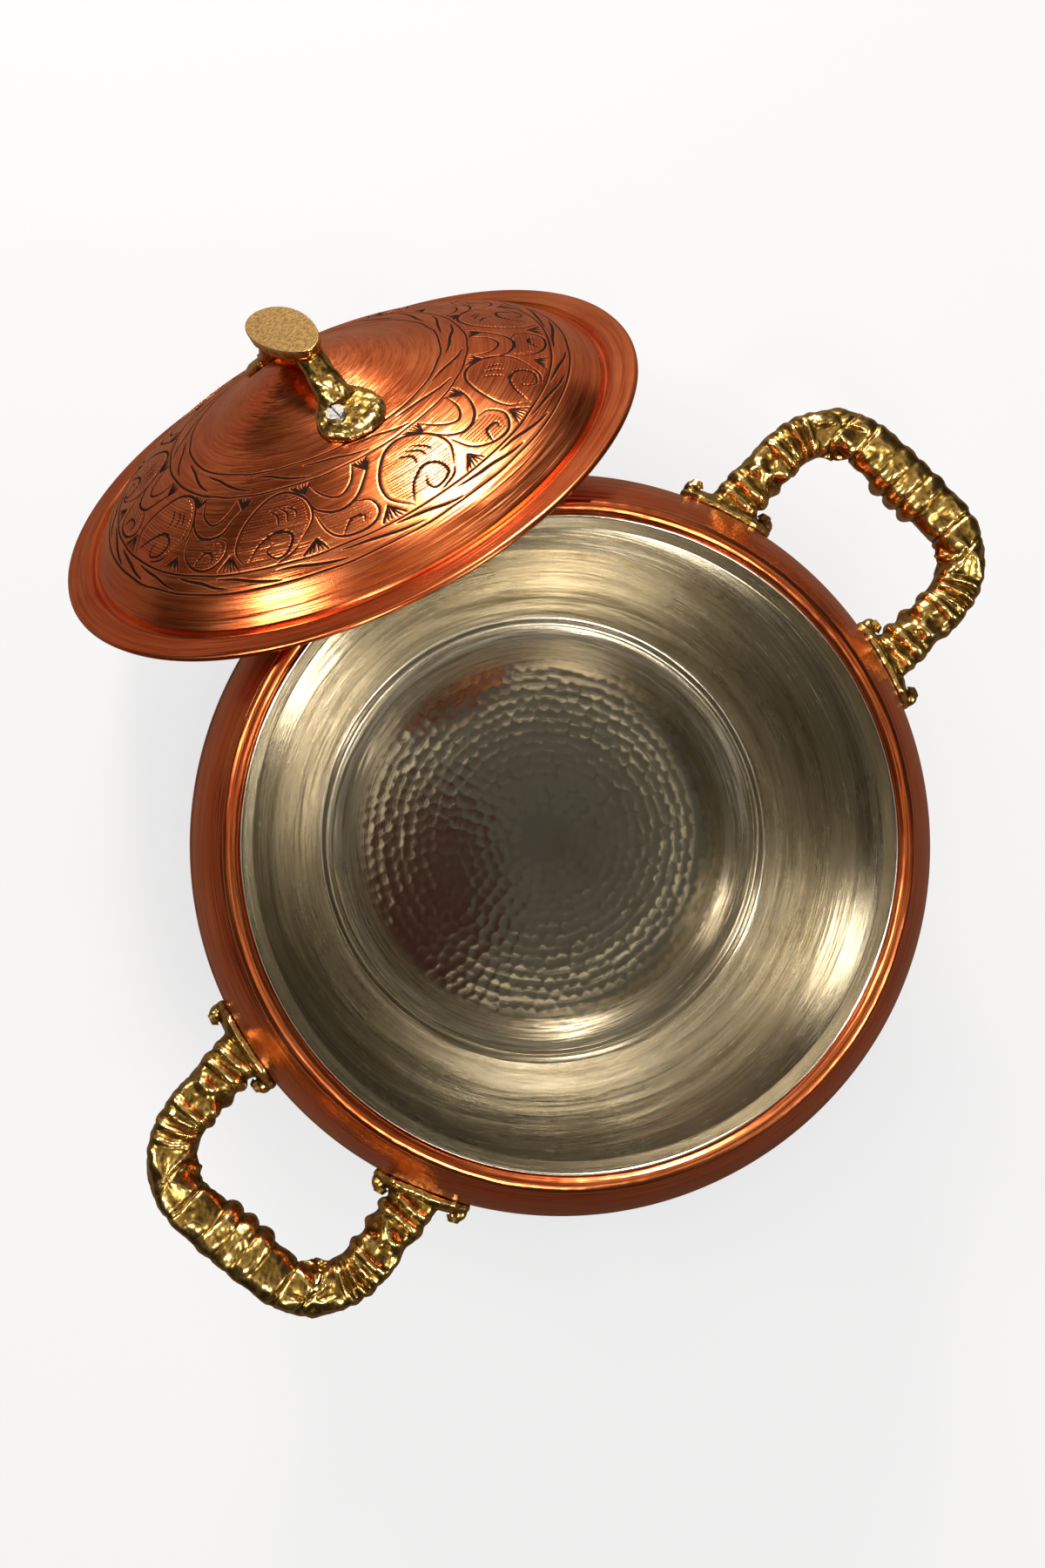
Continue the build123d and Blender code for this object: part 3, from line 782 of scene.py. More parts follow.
def fuse(pieces, name, voxel, smooth):
    """Join closed pieces and remesh them into one skin."""
    bpy.ops.object.select_all(action="DESELECT")
    for piece in pieces:
        piece.select_set(True)
    bpy.context.view_layer.objects.active = pieces[0]
    bpy.ops.object.join()
    piece = bpy.context.view_layer.objects.active
    piece.name = name
    piece.data.name = name
    remesh = piece.modifiers.new("Fuse", "REMESH")
    remesh.mode = "VOXEL"
    remesh.voxel_size = voxel * MM
    remesh.use_smooth_shade = True
    relax = piece.modifiers.new("Relax", "SMOOTH")
    relax.factor = 0.5
    relax.iterations = smooth
    skin = bpy.data.meshes.new_from_object(piece.evaluated_get(bpy.context.evaluated_depsgraph_get()))
    piece.modifiers.clear()
    piece.data = skin
    skin.shade_smooth()
    return piece


def mesh_arrays(mesh):
    """Points, normals and edges of a mesh."""
    edges = read_layer(mesh.edges, "vertices", 2, np.int64)
    return read_layer(mesh.vertices, "co", 3), read_layer(mesh.vertices, "normal", 3), edges


def move_points(piece, points):
    """Put a piece's points somewhere else."""
    piece.data.vertices.foreach_set("co", points.astype(np.float32).ravel())
    piece.data.update()


def mark_hollows(piece, rounds, reach):
    """Store how far each point lies under (1) or over (0) its surroundings."""
    points, normals, edges = mesh_arrays(piece.data)
    blurred = points.copy()
    degree = np.bincount(edges.ravel(), minlength=len(points)).clip(1)[:, None]
    for _ in range(rounds):
        total = np.zeros_like(blurred)
        np.add.at(total, edges[:, 0], blurred[edges[:, 1]])
        np.add.at(total, edges[:, 1], blurred[edges[:, 0]])
        blurred = total / degree
    sunk = ((blurred - points) * normals).sum(axis=1) / (reach * MM)
    add_attribute(piece, "hollow", np.clip(0.5 + sunk * 0.5, 0, 1))


def grain(piece, amount, scale, seed, keep=None):
    """Push the skin in and out by fine noise, in millimetres."""
    points, normals, _ = mesh_arrays(piece.data)
    rough = fine_noise(points / MM, scale, seed) + 0.25 * fine_noise(points / MM, scale * 2.4, seed + 1)
    shift = rough * amount
    if keep is not None:
        shift = shift * keep(points)
    move_points(piece, points + normals * (shift * MM)[:, None])


def rib(distance, width, height):
    """A rounded ridge across the bar."""
    return height * np.clip(1 - (distance / width) ** 2, 0, 1) ** 0.6


def patch(distance, centre, half, power):
    """1 at the centre, falling to 0 half a patch away."""
    return np.clip(1 - np.abs(distance - centre) / half, 0, 1) ** power


# Places of the relief along the bar, in millimetres from its middle
COLLAR_RIBS = (-6.4, 0.0, 6.2)
BLOCK = 14.5
CREASE = 20.4
LEAVES = 29.0
FOLDS = 42.0
EDGE_RIB = 49.5
SCROLLS = 56.0
FOOT_RINGS = ((63.8, 1.9, 1.5), (68.4, 1.5, 1.0))


def handle_relief(travel, total, angle, seed):
    """Relief of the bar, mirrored about its middle: collar, facets, folds, scrolls and foot rings."""
    chooser = np.random.default_rng(seed)
    mid = travel - total / 2
    away = np.abs(mid)
    sine = np.sin(angle)
    inner = np.clip(-np.cos(angle), 0, 1)
    relief = np.zeros(np.broadcast(travel, angle).shape)
    # Collar of three ribs that bulge inward
    for shift in COLLAR_RIBS:
        relief += rib(mid - shift + 0.5 * sine, 3.1, 1.3) * (0.8 + 1.0 * inner)
    # Rough block beside the collar, then two rows of facets that meet in slanting creases
    relief += patch(away, BLOCK, 5.0, 0.5) * (0.5 + 0.55 * np.sin(angle * 4 + mid * 0.25))
    relief -= rib(away - CREASE + 1.2 * np.sin(angle + 0.6), 0.9, 0.9)
    slant = np.abs(away - LEAVES) * 0.055 * np.sign(np.sin(angle * 2 + 0.4))
    facet = np.abs((angle / (2 * pi) * 4 + slant + 0.1 * np.sign(mid)) % 1 - 0.5) * 2
    relief += patch(away, LEAVES, 9.0, 0.7) * (facet * 2.6 - 1.0)
    relief -= rib(away - LEAVES + 3.4 * np.sin(angle * 2), 0.8, 0.8)
    # Short fan of folds, only over the top and the outside
    over = np.clip(0.35 + np.cos(angle - 0.9), 0, 1)
    relief += patch(away, FOLDS, 6.5, 0.6) * over * np.sin((away + sine * 2.2) * 1.75) * 0.95
    relief += rib(away - EDGE_RIB + sine * 1.2, 1.7, 1.0)
    # Knobby scrolls and the rings at the foot
    knobs = np.sin(angle * 3 + 0.6) * np.sin((away - 50) * 0.62)
    relief += patch(away, SCROLLS, 6.5, 0.7) * knobs * 1.7
    for place, width, height in FOOT_RINGS:
        relief += rib(away - place, width, height)
    calm = 1 - 0.55 * np.clip(np.cos(angle), 0, 1) ** 2
    return relief * calm + chooser.uniform(-0.1, 0.1)


BAR_ROWS = 0.45
BAR_AROUND = 96


def loop_path(handle, start, steps):
    """Centre line of the loop in its own plane, as (outward, sideways) with unit tangents."""
    end = (handle.reach - start) / cos(handle.rise)
    half = handle.half_width
    corner = handle.corner
    legs = np.linspace(0, end - corner, steps)
    turn = np.linspace(0, pi / 2, steps)
    bar = np.linspace(half - corner, -(half - corner), steps)
    line = [(x, half) for x in legs]
    line += [(end - corner + corner * sin(a), half - corner + corner * cos(a)) for a in turn[1:]]
    line += [(end, y) for y in bar[1:]]
    line += [(end - corner + corner * cos(a), -(half - corner) - corner * sin(a)) for a in turn[1:]]
    line += [(x, -half) for x in legs[::-1][1:]]
    line = np.array(line)
    line, even = even_line(line, int(travelled(line)[-1] / BAR_ROWS))
    tangent = np.gradient(line, axis=0)
    tangent /= np.linalg.norm(tangent, axis=1)[:, None]
    return line, tangent, even


PAD_GAP = 0.12


def wall_spot(azimuth, height, away):
    """A point off the pot's wall, and the wall's outward direction there."""
    radius = wall_radius(height, 0)
    slope = asin((height - sizes("pot").belly_height) / wall_arc(height))
    normal = np.array([cos(azimuth) * cos(slope), sin(azimuth) * cos(slope), sin(slope)])
    return np.array([radius * cos(azimuth), radius * sin(azimuth), height]) + normal * away, normal


def handle_pad(name, azimuth):
    """A foot that follows the wall, thicker in its middle, with notched ends."""
    handle = sizes("handle")
    pot_radius = wall_radius(handle.height, 0)
    rings = 14
    around = 64
    front = np.zeros((rings, around, 3))
    back = np.zeros((rings, around, 3))
    for ring in range(rings):
        share = (ring + 0.02) / (rings - 1)
        crown = handle.pad_thickness * (1 - 0.55 * share**4)
        for index in range(around):
            turn = 2 * pi * index / around
            reach = (1 + 0.05 * cos(turn * 6)) * share / 2
            along, up = (reach * np.sign(part) * abs(part) ** 0.8 for part in (cos(turn), sin(turn)))
            spot = azimuth + along * handle.pad_length / pot_radius
            height = handle.height + up * handle.pad_width
            front[ring, index], _ = wall_spot(spot, height, crown)
            back[ring, index], _ = wall_spot(spot, height, PAD_GAP)
    rows = np.concatenate([front, back[::-1]])
    return turned_piece(name, rows * MM, around, {})


def ball(name, centre, radius):
    """A small ball, a curl at the tip of a foot."""
    around = 20
    falls = np.linspace(0.05, pi - 0.05, 12)
    profile = np.column_stack([np.sin(falls), np.cos(falls)])
    rows, _, _ = turned_rows(profile, around)
    return turned_piece(name, (np.asarray(centre) + rows * radius) * MM, around, {})


def make_handle(side, azimuth, seed):
    """One cast loop with its two feet against the wall."""
    handle = sizes("handle")
    foot_radius = wall_radius(handle.height, 0)
    start = sqrt(foot_radius**2 - handle.half_width**2) + 0.6
    line, tangent, travel = loop_path(handle, start, 40)
    outward = np.array([cos(azimuth) * cos(handle.rise), sin(azimuth) * cos(handle.rise), sin(handle.rise)])
    sideways = np.array([-sin(azimuth), cos(azimuth), 0.0])
    upward = np.cross(outward, sideways)
    origin = np.array([start * cos(azimuth), start * sin(azimuth), handle.height])
    centres = origin + line[:, :1] * outward + line[:, 1:] * sideways
    # Away from the loop's middle, in the loop's plane
    across = np.array([-t[1] * outward + t[0] * sideways for t in tangent])
    angle = np.arange(BAR_AROUND) * 2 * pi / BAR_AROUND
    squared = (np.abs(np.cos(angle)) ** 3 + np.abs(np.sin(angle)) ** 3) ** (-1 / 3)
    radii = handle.bar * squared[None, :] + handle_relief(travel[:, None], travel[-1], angle[None, :], seed)
    ups = np.repeat(upward[None, :], len(centres), axis=0)
    pieces = [ring_tube(f"bar_{side}", centres * MM, across, ups, radii * MM)]
    foot_turn = asin(handle.half_width / foot_radius)
    for leg in (-1, 1):
        middle = azimuth + leg * foot_turn
        pieces.append(handle_pad(f"pad_{side}_{leg}", middle))
        for end in (-1, 1):
            spot = middle + end * (handle.pad_length / 2 - 2.2) / foot_radius
            centre, _ = wall_spot(spot, handle.height, handle.pad_thickness - 1.0)
            pieces.append(ball(f"tip_{side}_{leg}_{end}", centre, 2.7))
    piece = fuse(pieces, f"handle_{side}_casting", voxel=0.42, smooth=2)
    grain(piece, amount=0.13, scale=1.1, seed=seed)
    mark_hollows(piece, rounds=10, reach=0.55)
    set_down(piece, Matrix.Identity(4))
    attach(piece, "pot")
    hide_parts(f"handle_{side}")
    return piece


LEG_SETBACK = 6.6


def dome_height_at(radius):
    """Height of the dome over the flange at a radius."""
    line = np.array(dome_line(0.0, 0.5))[::-1]
    return float(np.interp(radius, line[:, 0], line[:, 1]))


def knob_plate(lid, bottom):
    """The plate: rings from a narrower underside to the flat top."""
    around = 96
    top = lid.knob_height
    turn = np.arange(around) * 2 * pi / around
    cosine = np.cos(turn)
    shape = np.column_stack([cosine * (1 + 0.03 * cosine), np.sin(turn) * (1 - 0.10 * cosine)])
    half = np.array([lid.plate_length, lid.plate_width]) / 2 - 0.2
    levels = [
        (0.02, bottom), (0.6, bottom), (0.90, bottom + 0.1), (0.95, bottom + 0.5), (0.985, bottom + 1.6),
        (1.0, top - 0.35), (0.99, top), (0.6, top), (0.02, top),
    ]
    rows = np.zeros((len(levels), around, 3))
    for index, (share, height) in enumerate(levels):
        rows[index, :, :2] = shape * half * share
        rows[index, :, 2] = height
    return turned_piece("plate", rows * MM, around, {})


def knob_leg(lid, bottom, side):
    """A bowed leg, wider at both ends, from under the plate to its foot."""
    steps = 36
    around = 48
    landing = lid.foot_distance - LEG_SETBACK
    top = np.array([side * (lid.plate_length / 2 - 7.0), 0, bottom + 1.5])
    low = np.array([side * landing, 0, dome_height_at(landing) + 0.5])
    share = np.linspace(0, 1, steps)
    bow = np.sin(share * pi) * 1.2
    centres = top + (low - top) * share[:, None]
    centres[:, 0] -= side * bow
    centres[:, 2] -= bow * 0.4
    widths = 4.3 + 1.9 * share**1.6 + 1.2 * np.clip(1 - share / 0.18, 0, 1) ** 2
    flattened = 1 - 0.16 * np.abs(np.sin(np.arange(around) * 2 * pi / around)) ** 2
    axis = (low - top) / np.linalg.norm(low - top)
    across = np.tile([0.0, 1.0, 0.0], (steps, 1))
    upward = np.tile(np.cross(axis, [0.0, 1.0, 0.0]), (steps, 1))
    return ring_tube(f"leg_{side}", centres * MM, across, upward, widths[:, None] * flattened * MM)


def knob_foot(lid, side):
    """A foot: a disc that follows the dome."""
    rings = 12
    around = 72
    spin = np.arange(around) * 2 * pi / around
    front = np.zeros((rings, around, 3))
    for index in range(rings):
        part = (index + 0.02) / (rings - 1)
        front[index, :, 0] = side * lid.foot_distance + np.cos(spin) * lid.foot_radius * part
        front[index, :, 1] = np.sin(spin) * lid.foot_radius * part
        ground = [dome_height_at(distance) for distance in np.hypot(front[index, :, 0], front[index, :, 1])]
        front[index, :, 2] = ground
    back = front + [0, 0, 0.15]
    parts = (np.arange(rings) + 0.02) / (rings - 1)
    front[..., 2] += (lid.foot_thickness * (1 - 0.45 * parts**8))[:, None]
    return turned_piece(f"foot_{side}", np.concatenate([front, back[::-1]]) * MM, around, {})


def make_knob():
    """The cast bridge knob with its ground plate."""
    lid = sizes("lid")
    matrix = lid_matrix() @ Matrix.Rotation(lid.knob_turn, 4, "Z")
    bottom = lid.knob_height - lid.plate_thickness
    pieces = [knob_plate(lid, bottom)]
    for side in (-1, 1):
        pieces += [knob_leg(lid, bottom, side), knob_foot(lid, side)]
    piece = fuse(pieces, "lid_knob_casting", voxel=0.34, smooth=2)
    flat = (lid.knob_height - 0.5) * MM

    def below_plate(points):
        return np.clip((flat - points[:, 2]) / (1.5 * MM), 0, 1) * 0.9 + 0.1

    grain(piece, amount=0.14, scale=1.2, seed=5, keep=below_plate)
    points, normals, _ = mesh_arrays(piece.data)
    ground = points[:, 2] > flat
    points[ground & (normals[:, 2] > 0.5), 2] = lid.knob_height * MM
    move_points(piece, points)
    add_attribute(piece, "ground", (ground & (normals[:, 2] > 0.7)).astype(float))
    mark_hollows(piece, rounds=10, reach=0.5)
    set_down(piece, matrix)
    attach(piece, "lid")
    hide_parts("lid_knob")
    return piece


# Shader maths as Python expressions on sockets
def joins(operation, swapped=False):
    """An operator that adds one Math node."""
    def join(self, other):
        values = (other, self) if swapped else (self, other)
        return self.nodes.maths(operation, *values)

    return join


class Term:
    """A socket in a node tree that takes part in Python expressions."""

    __add__ = __radd__ = joins("ADD")
    __mul__ = __rmul__ = joins("MULTIPLY")
    __sub__ = joins("SUBTRACT")
    __rsub__ = joins("SUBTRACT", swapped=True)
    __truediv__ = joins("DIVIDE")
    __rtruediv__ = joins("DIVIDE", swapped=True)
    __pow__ = joins("POWER")

    def __init__(self, nodes, socket):
        self.nodes = nodes
        self.socket = socket


class Nodes:
    """A node tree under construction."""

    def __init__(self, tree):
        self.tree = tree
        tree.nodes.clear()

    def put(self, socket, value):
        """Link a socket, or set its value."""
        if isinstance(value, Term):
            value = value.socket
        if isinstance(value, bpy.types.NodeSocket):
            self.tree.links.new(value, socket)
        elif socket.type == "RGBA" and len(value) == 3:
            socket.default_value = (*value, 1.0)
        else:
            socket.default_value = value

    def add(self, kind, made=None, sockets=None):
        """Add a node: its type, its settings, then its sockets' values or links."""
        node = self.tree.nodes.new(kind)
        for name, value in (made or {}).items():
            setattr(node, name, value)
        for name, value in (sockets or {}).items():
            self.put(node.inputs[name], value)
        return node

    def node(self, kind, made=None, sockets=None, output=0):
        """Add a node and take one of its outputs."""
        return Term(self, self.add(kind, made, sockets).outputs[output])

    def maths(self, operation, *values):
        return self.node("ShaderNodeMath", {"operation": operation}, dict(enumerate(values)))

    def vectors(self, operation, *values):
        places = (0, 3) if operation == "SCALE" else (0, 1, 2)
        return self.node("ShaderNodeVectorMath", {"operation": operation}, dict(zip(places, values)))


class Finish(Nodes):
    """A material under construction."""

    def __init__(self, name):
        self.material = bpy.data.materials.new(name)
        self.material.use_nodes = True
        super().__init__(self.material.node_tree)
        self.shader = self.add("ShaderNodeBsdfPrincipled")
        self.output = self.add("ShaderNodeOutputMaterial", sockets={"Surface": self.shader.outputs[0]})

    def clamp(self, value):
        return self.node("ShaderNodeClamp", sockets={"Value": value})

    def band(self, value, low, high):
        """0 under low, 1 over high, smooth between."""
        return self.node(
            "ShaderNodeMapRange", {"interpolation_type": "SMOOTHSTEP"},
            {"Value": value, "From Min": low, "From Max": high},
        )

    def mix(self, share, first, second):
        return self.node("ShaderNodeMix", {"data_type": "RGBA"}, {0: share, 6: first, 7: second}, output=2)

    def attribute(self, name):
        return self.node("ShaderNodeAttribute", {"attribute_name": name}, output=2)

    def place(self):
        return self.node("ShaderNodeTexCoord", output=3)

    def own_place(self):
        return self.node("ShaderNodeAttribute", {"attribute_name": "own_place"}, output=1)

    def parts(self, vector):
        split = self.add("ShaderNodeSeparateXYZ", sockets={0: vector})
        return [Term(self, socket) for socket in split.outputs]

    def vector(self, x, y, z):
        return self.node("ShaderNodeCombineXYZ", sockets={0: x, 1: y, 2: z})

    def noise(self, vector, scale, detail=3.0, roughness=0.5):
        return self.node(
            "ShaderNodeTexNoise", {"noise_dimensions": "3D"},
            {"Vector": vector, "Scale": scale, "Detail": detail, "Roughness": roughness},
        )

    def bump(self, height, distance, strength=1.0, under=None):
        sockets = {"Height": height, "Distance": distance, "Strength": strength}
        if under is not None:
            sockets["Normal"] = under
        return self.node("ShaderNodeBump", sockets=sockets)

    def set(self, **sockets):
        for name, value in sockets.items():
            self.put(self.shader.inputs[name.replace("_", " ")], value)
        return self.material

    def wheel(self):
        """Cosine, sine and radius of each place round the piece's own axis."""
        x, y, _ = self.parts(self.own_place())
        radius = (x * x + y * y + 1e-9) ** 0.5
        return x / radius, y / radius, radius

    def brushed(self, round_scale, along_scale, detail=4.0):
        """Noise drawn out round the axis: fine across the lines, long along them."""
        cosine, sine, _ = self.wheel()
        along = self.attribute("along")
        lines = self.vector(cosine * round_scale, sine * round_scale, along * along_scale)
        return self.noise(lines, 1.0, detail, 0.6)

    def leant_normal(self, matrix, share):
        """The normal leant across the brush lines, as the sides of fine turned grooves are."""
        cosine, sine, _ = self.wheel()
        normal = self.node("ShaderNodeNewGeometry", output=1)
        round_way = self.vectors(
            "ADD",
            self.vectors("SCALE", tuple(matrix.col[0][:3]), sine * -1.0),
            self.vectors("SCALE", tuple(matrix.col[1][:3]), cosine),
        )
        across = self.vectors("CROSS_PRODUCT", normal, round_way)
        leant = self.vectors("ADD", normal, self.vectors("SCALE", across, share))
        return self.vectors("NORMALIZE", leant)


def copper_finish(name, matrix):
    """Brushed copper with blackened cuts and hatching."""
    colours = sizes("finish")
    finish = Finish(name)
    cut = finish.attribute("cut")
    hatch = finish.attribute("hatch")
    along = finish.attribute("along")
    fine = finish.brushed(round_scale=4.0, along_scale=3.4, detail=2.0)
    line = finish.brushed(round_scale=3.0, along_scale=1.3)
    broad = finish.brushed(round_scale=1.3, along_scale=0.30)
    blotch = finish.noise(finish.place(), scale=28.0, detail=3.0)
    rubbed = finish.band(broad * 0.6 + blotch * 0.5, 0.40, 0.74)
    tone = finish.mix(rubbed, colours.copper, colours.copper_pale)
    tone = finish.mix(finish.band(line, 0.58, 0.34) * 0.5, tone, colours.copper_dark)
    # Hatching: thin lines about a millimetre apart, wavering as a hand does
    waver = finish.noise(finish.place(), scale=90.0, detail=2.0) * 0.9
    wave = finish.maths("SINE", (along + waver) * 5.9)
    lines = finish.band(wave, 0.20, 0.80) * hatch * 0.85
    dark = finish.clamp(cut * 1.9 + lines)
    base = finish.mix(dark, tone, colours.cut)
    leant = finish.leant_normal(matrix, (fine - 0.5) * 0.80 + (line - 0.5) * 0.10)
    relief = finish.bump(lines * -1.0, distance=0.0002, under=leant)
    rough = blotch * 0.10 + line * 0.08 + dark * 0.4 + 0.15
    return finish.set(Base_Color=base, Metallic=1.0, Roughness=rough, Normal=relief)


def tin_finish():
    """Wiped tin, streaked on the wall and filmed brown in places."""
    colours = sizes("finish")
    pot = sizes("pot")
    finish = Finish("wiped_tin")
    _, _, radius = finish.wheel()
    wall = finish.band(radius, pot.hammered_radius * MM * 0.90, pot.hammered_radius * MM)
    fine = finish.brushed(round_scale=4.0, along_scale=2.6, detail=2.0)
    line = finish.brushed(round_scale=2.4, along_scale=0.9)
    broad = finish.brushed(round_scale=1.1, along_scale=0.16)
    blotch = finish.noise(finish.place(), scale=20.0, detail=4.0, roughness=0.6)
    film = finish.band(broad * 0.6 * wall + blotch * 0.5 + (1.0 - wall) * 0.27, 0.46, 0.72)
    tone = finish.mix(film * 0.8, colours.tin, colours.tin_dark)
    tone = finish.mix(finish.band(line, 0.56, 0.36) * wall * 0.35, tone, colours.tin_dark)
    hammered = finish.attribute("hammered")
    tone = finish.mix(finish.band(hammered, 0.25, 0.0) * (1.0 - wall) * 0.25, tone, colours.tin_dark)
    lean = ((fine - 0.5) * 0.42 + (line - 0.5) * 0.22) * (wall * 0.9 + 0.1)
    spots = finish.noise(finish.place(), scale=260.0, detail=3.0)
    leant = finish.leant_normal(Matrix.Identity(4), lean)
    relief = finish.bump(spots, distance=0.00008, strength=0.5, under=leant)
    rough = blotch * (wall * 0.08 + 0.10) + line * wall * 0.12 + 0.07 + wall * 0.03
    return finish.set(Base_Color=tone, Metallic=1.0, Roughness=rough, Normal=relief)


def brass_finish(ground_top):
    """Raw cast brass, with dark patina and painted shade in its hollows, and rubbed bright on its ridges."""
    colours = sizes("finish")
    finish = Finish("ground_cast_brass" if ground_top else "cast_brass")
    hollow = finish.attribute("hollow")
    spots = finish.noise(finish.place(), scale=210.0, detail=4.0, roughness=0.65)
    blotch = finish.noise(finish.place(), scale=55.0, detail=3.0)
    high = finish.band(hollow + spots * 0.16, 0.62, 0.44)
    # Painted shade: the hollows are darkened to near black, partly patina and partly the shade that falls
    # there
    hollow_patina_and_shade = finish.band(hollow + blotch * 0.18, 0.60, 0.82)
    tone = finish.mix(high * 0.85, colours.brass, colours.brass_bright)
    tone = finish.mix(hollow_patina_and_shade, tone, colours.brass_patina_and_shade)
    rough = spots * 0.25 + hollow_patina_and_shade * 0.30 + 0.12
    relief = finish.bump(spots, distance=0.00012, strength=0.6)
    if ground_top:
        ground = finish.attribute("ground")
        speckle = finish.noise(finish.place(), scale=900.0, detail=3.0, roughness=0.7)
        satin = finish.mix(finish.band(speckle, 0.35, 0.65), (0.30, 0.18, 0.06), (0.50, 0.34, 0.14))
        tone = finish.mix(ground, tone, satin)
        rough = rough * (1.0 - ground) + (speckle * 0.2 + 0.38) * ground
    return finish.set(Base_Color=tone, Metallic=1.0, Roughness=rough, Normal=relief)


def speckled_finish(name, texture, edges, tones, rough, depth):
    """A metal of two tones in spots, which are also its roughness and its relief."""
    finish = Finish(name)
    spots = finish.noise(finish.place(), *texture)
    tone = finish.mix(finish.band(spots, *edges), *tones)
    share, least = rough
    relief = finish.bump(spots, depth, 0.5)
    return finish.set(Base_Color=tone, Metallic=1.0, Roughness=spots * share + least, Normal=relief)


def dress(piece, material):
    """Give a piece one material."""
    piece.data.materials.clear()
    piece.data.materials.append(material)


class COPPERPOT_OT_body(Operator):
    """Make the pot's engraved copper skin"""

    bl_idname = "copper_pot.body"
    bl_label = "Copper body"

    def execute(self, context):
        dress(make_pot_copper(), copper_finish("brushed_copper_pot", Matrix.Identity(4)))
        return {"FINISHED"}


class COPPERPOT_OT_lining(Operator):
    """Make the tin of the pot, hammered on its base, and finish the tin of the lid"""

    bl_idname = "copper_pot.lining"
    bl_label = "Tin"

    def execute(self, context):
        dress(make_pot_tin(), tin_finish())
        colours = sizes("finish")
        tones = (colours.tin, colours.tin_dark)
        under = speckled_finish("tin_under_lid", (60.0, 4.0, 0.6), (0.35, 0.65), tones, (0.3, 0.15), 0.0001)
        dress(frame["nodes"]["lid_tin_lining"], under)
        return {"FINISHED"}


class COPPERPOT_OT_lid(Operator):
    """Make the lid's engraved copper skin"""

    bl_idname = "copper_pot.lid"
    bl_label = "Copper lid"

    def execute(self, context):
        matrix = lid_matrix()
        dress(make_lid_copper(matrix), copper_finish("brushed_copper_lid", matrix))
        return {"FINISHED"}


class COPPERPOT_OT_handles(Operator):
    """Cast both handles and finish their rivets"""

    bl_idname = "copper_pot.handles"
    bl_label = "Handles"

    def execute(self, context):
        material = brass_finish(False)
        colours = sizes("finish")
        tones = (colours.brass, colours.brass_bright)
        worn = speckled_finish("copper_rivets", (300.0, 3.0, 0.5), (0.35, 0.7), tones, (0.3, 0.2), 0.0001)
        skew = sizes("handle").skew
        for side, azimuth, seed in (("right", 0.0, 3), ("left", pi + skew, 4)):
            dress(make_handle(side, azimuth, seed), material)
            dress(frame["nodes"][f"handle_{side}_rivets"], worn)
        return {"FINISHED"}


class COPPERPOT_OT_knob(Operator):
    """Cast the lid's knob and finish its screws, washers and nuts"""

    bl_idname = "copper_pot.knob"
    bl_label = "Knob"

    def execute(self, context):
        dress(make_knob(), brass_finish(True))
        pale = sizes("finish").steel
        tones = (tuple(0.6 * part for part in pale), pale)
        steel = speckled_finish("turned_steel", (1400.0, 3.0, 0.6), (0.3, 0.7), tones, (0.25, 0.25), 0.00005)
        for node in ("knob_screws", "knob_washers", "knob_nuts"):
            dress(frame["nodes"][node], steel)
        return {"FINISHED"}


# Soft painted shadow round the pot, darkening the floor's glow: where it starts and ends, in metres, and how
# dark it is
SHADOW_START = 0.06
SHADOW_END = 0.21
SHADOW_SHARE = 0.78
FLOOR_HALF = 1.2
LAMP_AIM = (0, 0, 0.08)
# Name, place in the picture's axes and size in metres, power in watts, tint
LAMPS = (
    ("key", (-0.20, 1.20, 0.75), 0.24, 36.0, (1.0, 0.93, 0.82)),
    ("side", (0.95, -0.55, 1.00), 0.26, 9.0, (1.0, 0.94, 0.84)),
    ("near", (-0.15, -0.75, 1.35), 0.28, 8.0, (1.0, 0.95, 0.88)),
    ("left", (-1.00, 0.42, 0.95), 0.28, 9.0, (1.0, 0.93, 0.82)),
    ("ceiling", (0, 0, 1.80), 1.70, 6.0, (1.0, 0.84, 0.56)),
)
# The photographer's dark shape, which the base of the pot mirrors: centre, half sizes and glow, a painted
# glow in place of the light falling on it
CARDS = (
    ("photographer", (0.076, -0.007, 1.15), (0.262, 0.262), (0.070, 0.066, 0.052)),
    ("sleeve", (-0.11, -0.10, 1.05), (0.10, 0.18), (0.030, 0.002, 0.001)),
)
CARD_CORNERS = 24
ROOM_TINT = (1.0, 0.93, 0.82)
BACKDROP = (0.84, 0.84, 0.845)


def floor_finish():
    """A floor that the camera sees pale, with the pot's cast shadow and a soft painted shadow round the pot,
    and that the metals hardly mirror.
    """
    colours = sizes("finish")
    finish = Finish("pale_floor")
    x, y, _ = finish.parts(finish.place())
    away = (x * x + y * y) ** 0.5
    painted_shadow = tuple(SHADOW_SHARE * part for part in colours.floor_glow)
    # Painted shadow: the glow darkens towards the pot
    glow = finish.mix(finish.band(away, SHADOW_START, SHADOW_END), painted_shadow, colours.floor_glow)
    finish.set(Base_Color=colours.floor, Roughness=1.0, Specular_IOR_Level=0.0)
    finish.set(Emission_Color=glow, Emission_Strength=1.0)
    dim = finish.node("ShaderNodeBsdfDiffuse", sockets={"Color": colours.floor_mirrored})
    seen = finish.node("ShaderNodeLightPath")
    both = finish.node("ShaderNodeMixShader", sockets={0: seen, 1: dim, 2: finish.shader.outputs[0]})
    finish.put(finish.output.inputs["Surface"], both)
    return finish.material


def link_object(name, data):
    """Make an object in the scene."""
    holder = bpy.data.objects.new(name, data)
    bpy.context.scene.collection.objects.link(holder)
    return holder


def add_lamp(name, place, size, power, tint):
    """A square lamp aimed at the pot."""
    lamp = bpy.data.lights.new(name, "AREA")
    lamp.shape = "RECTANGLE"
    lamp.size = size
    lamp.size_y = size
    lamp.energy = power
    lamp.color = tint
    holder = link_object(name, lamp)
    holder.location = place
    holder.visible_camera = False
    holder.rotation_euler = (Vector(LAMP_AIM) - place).to_track_quat("-Z", "Y").to_euler()


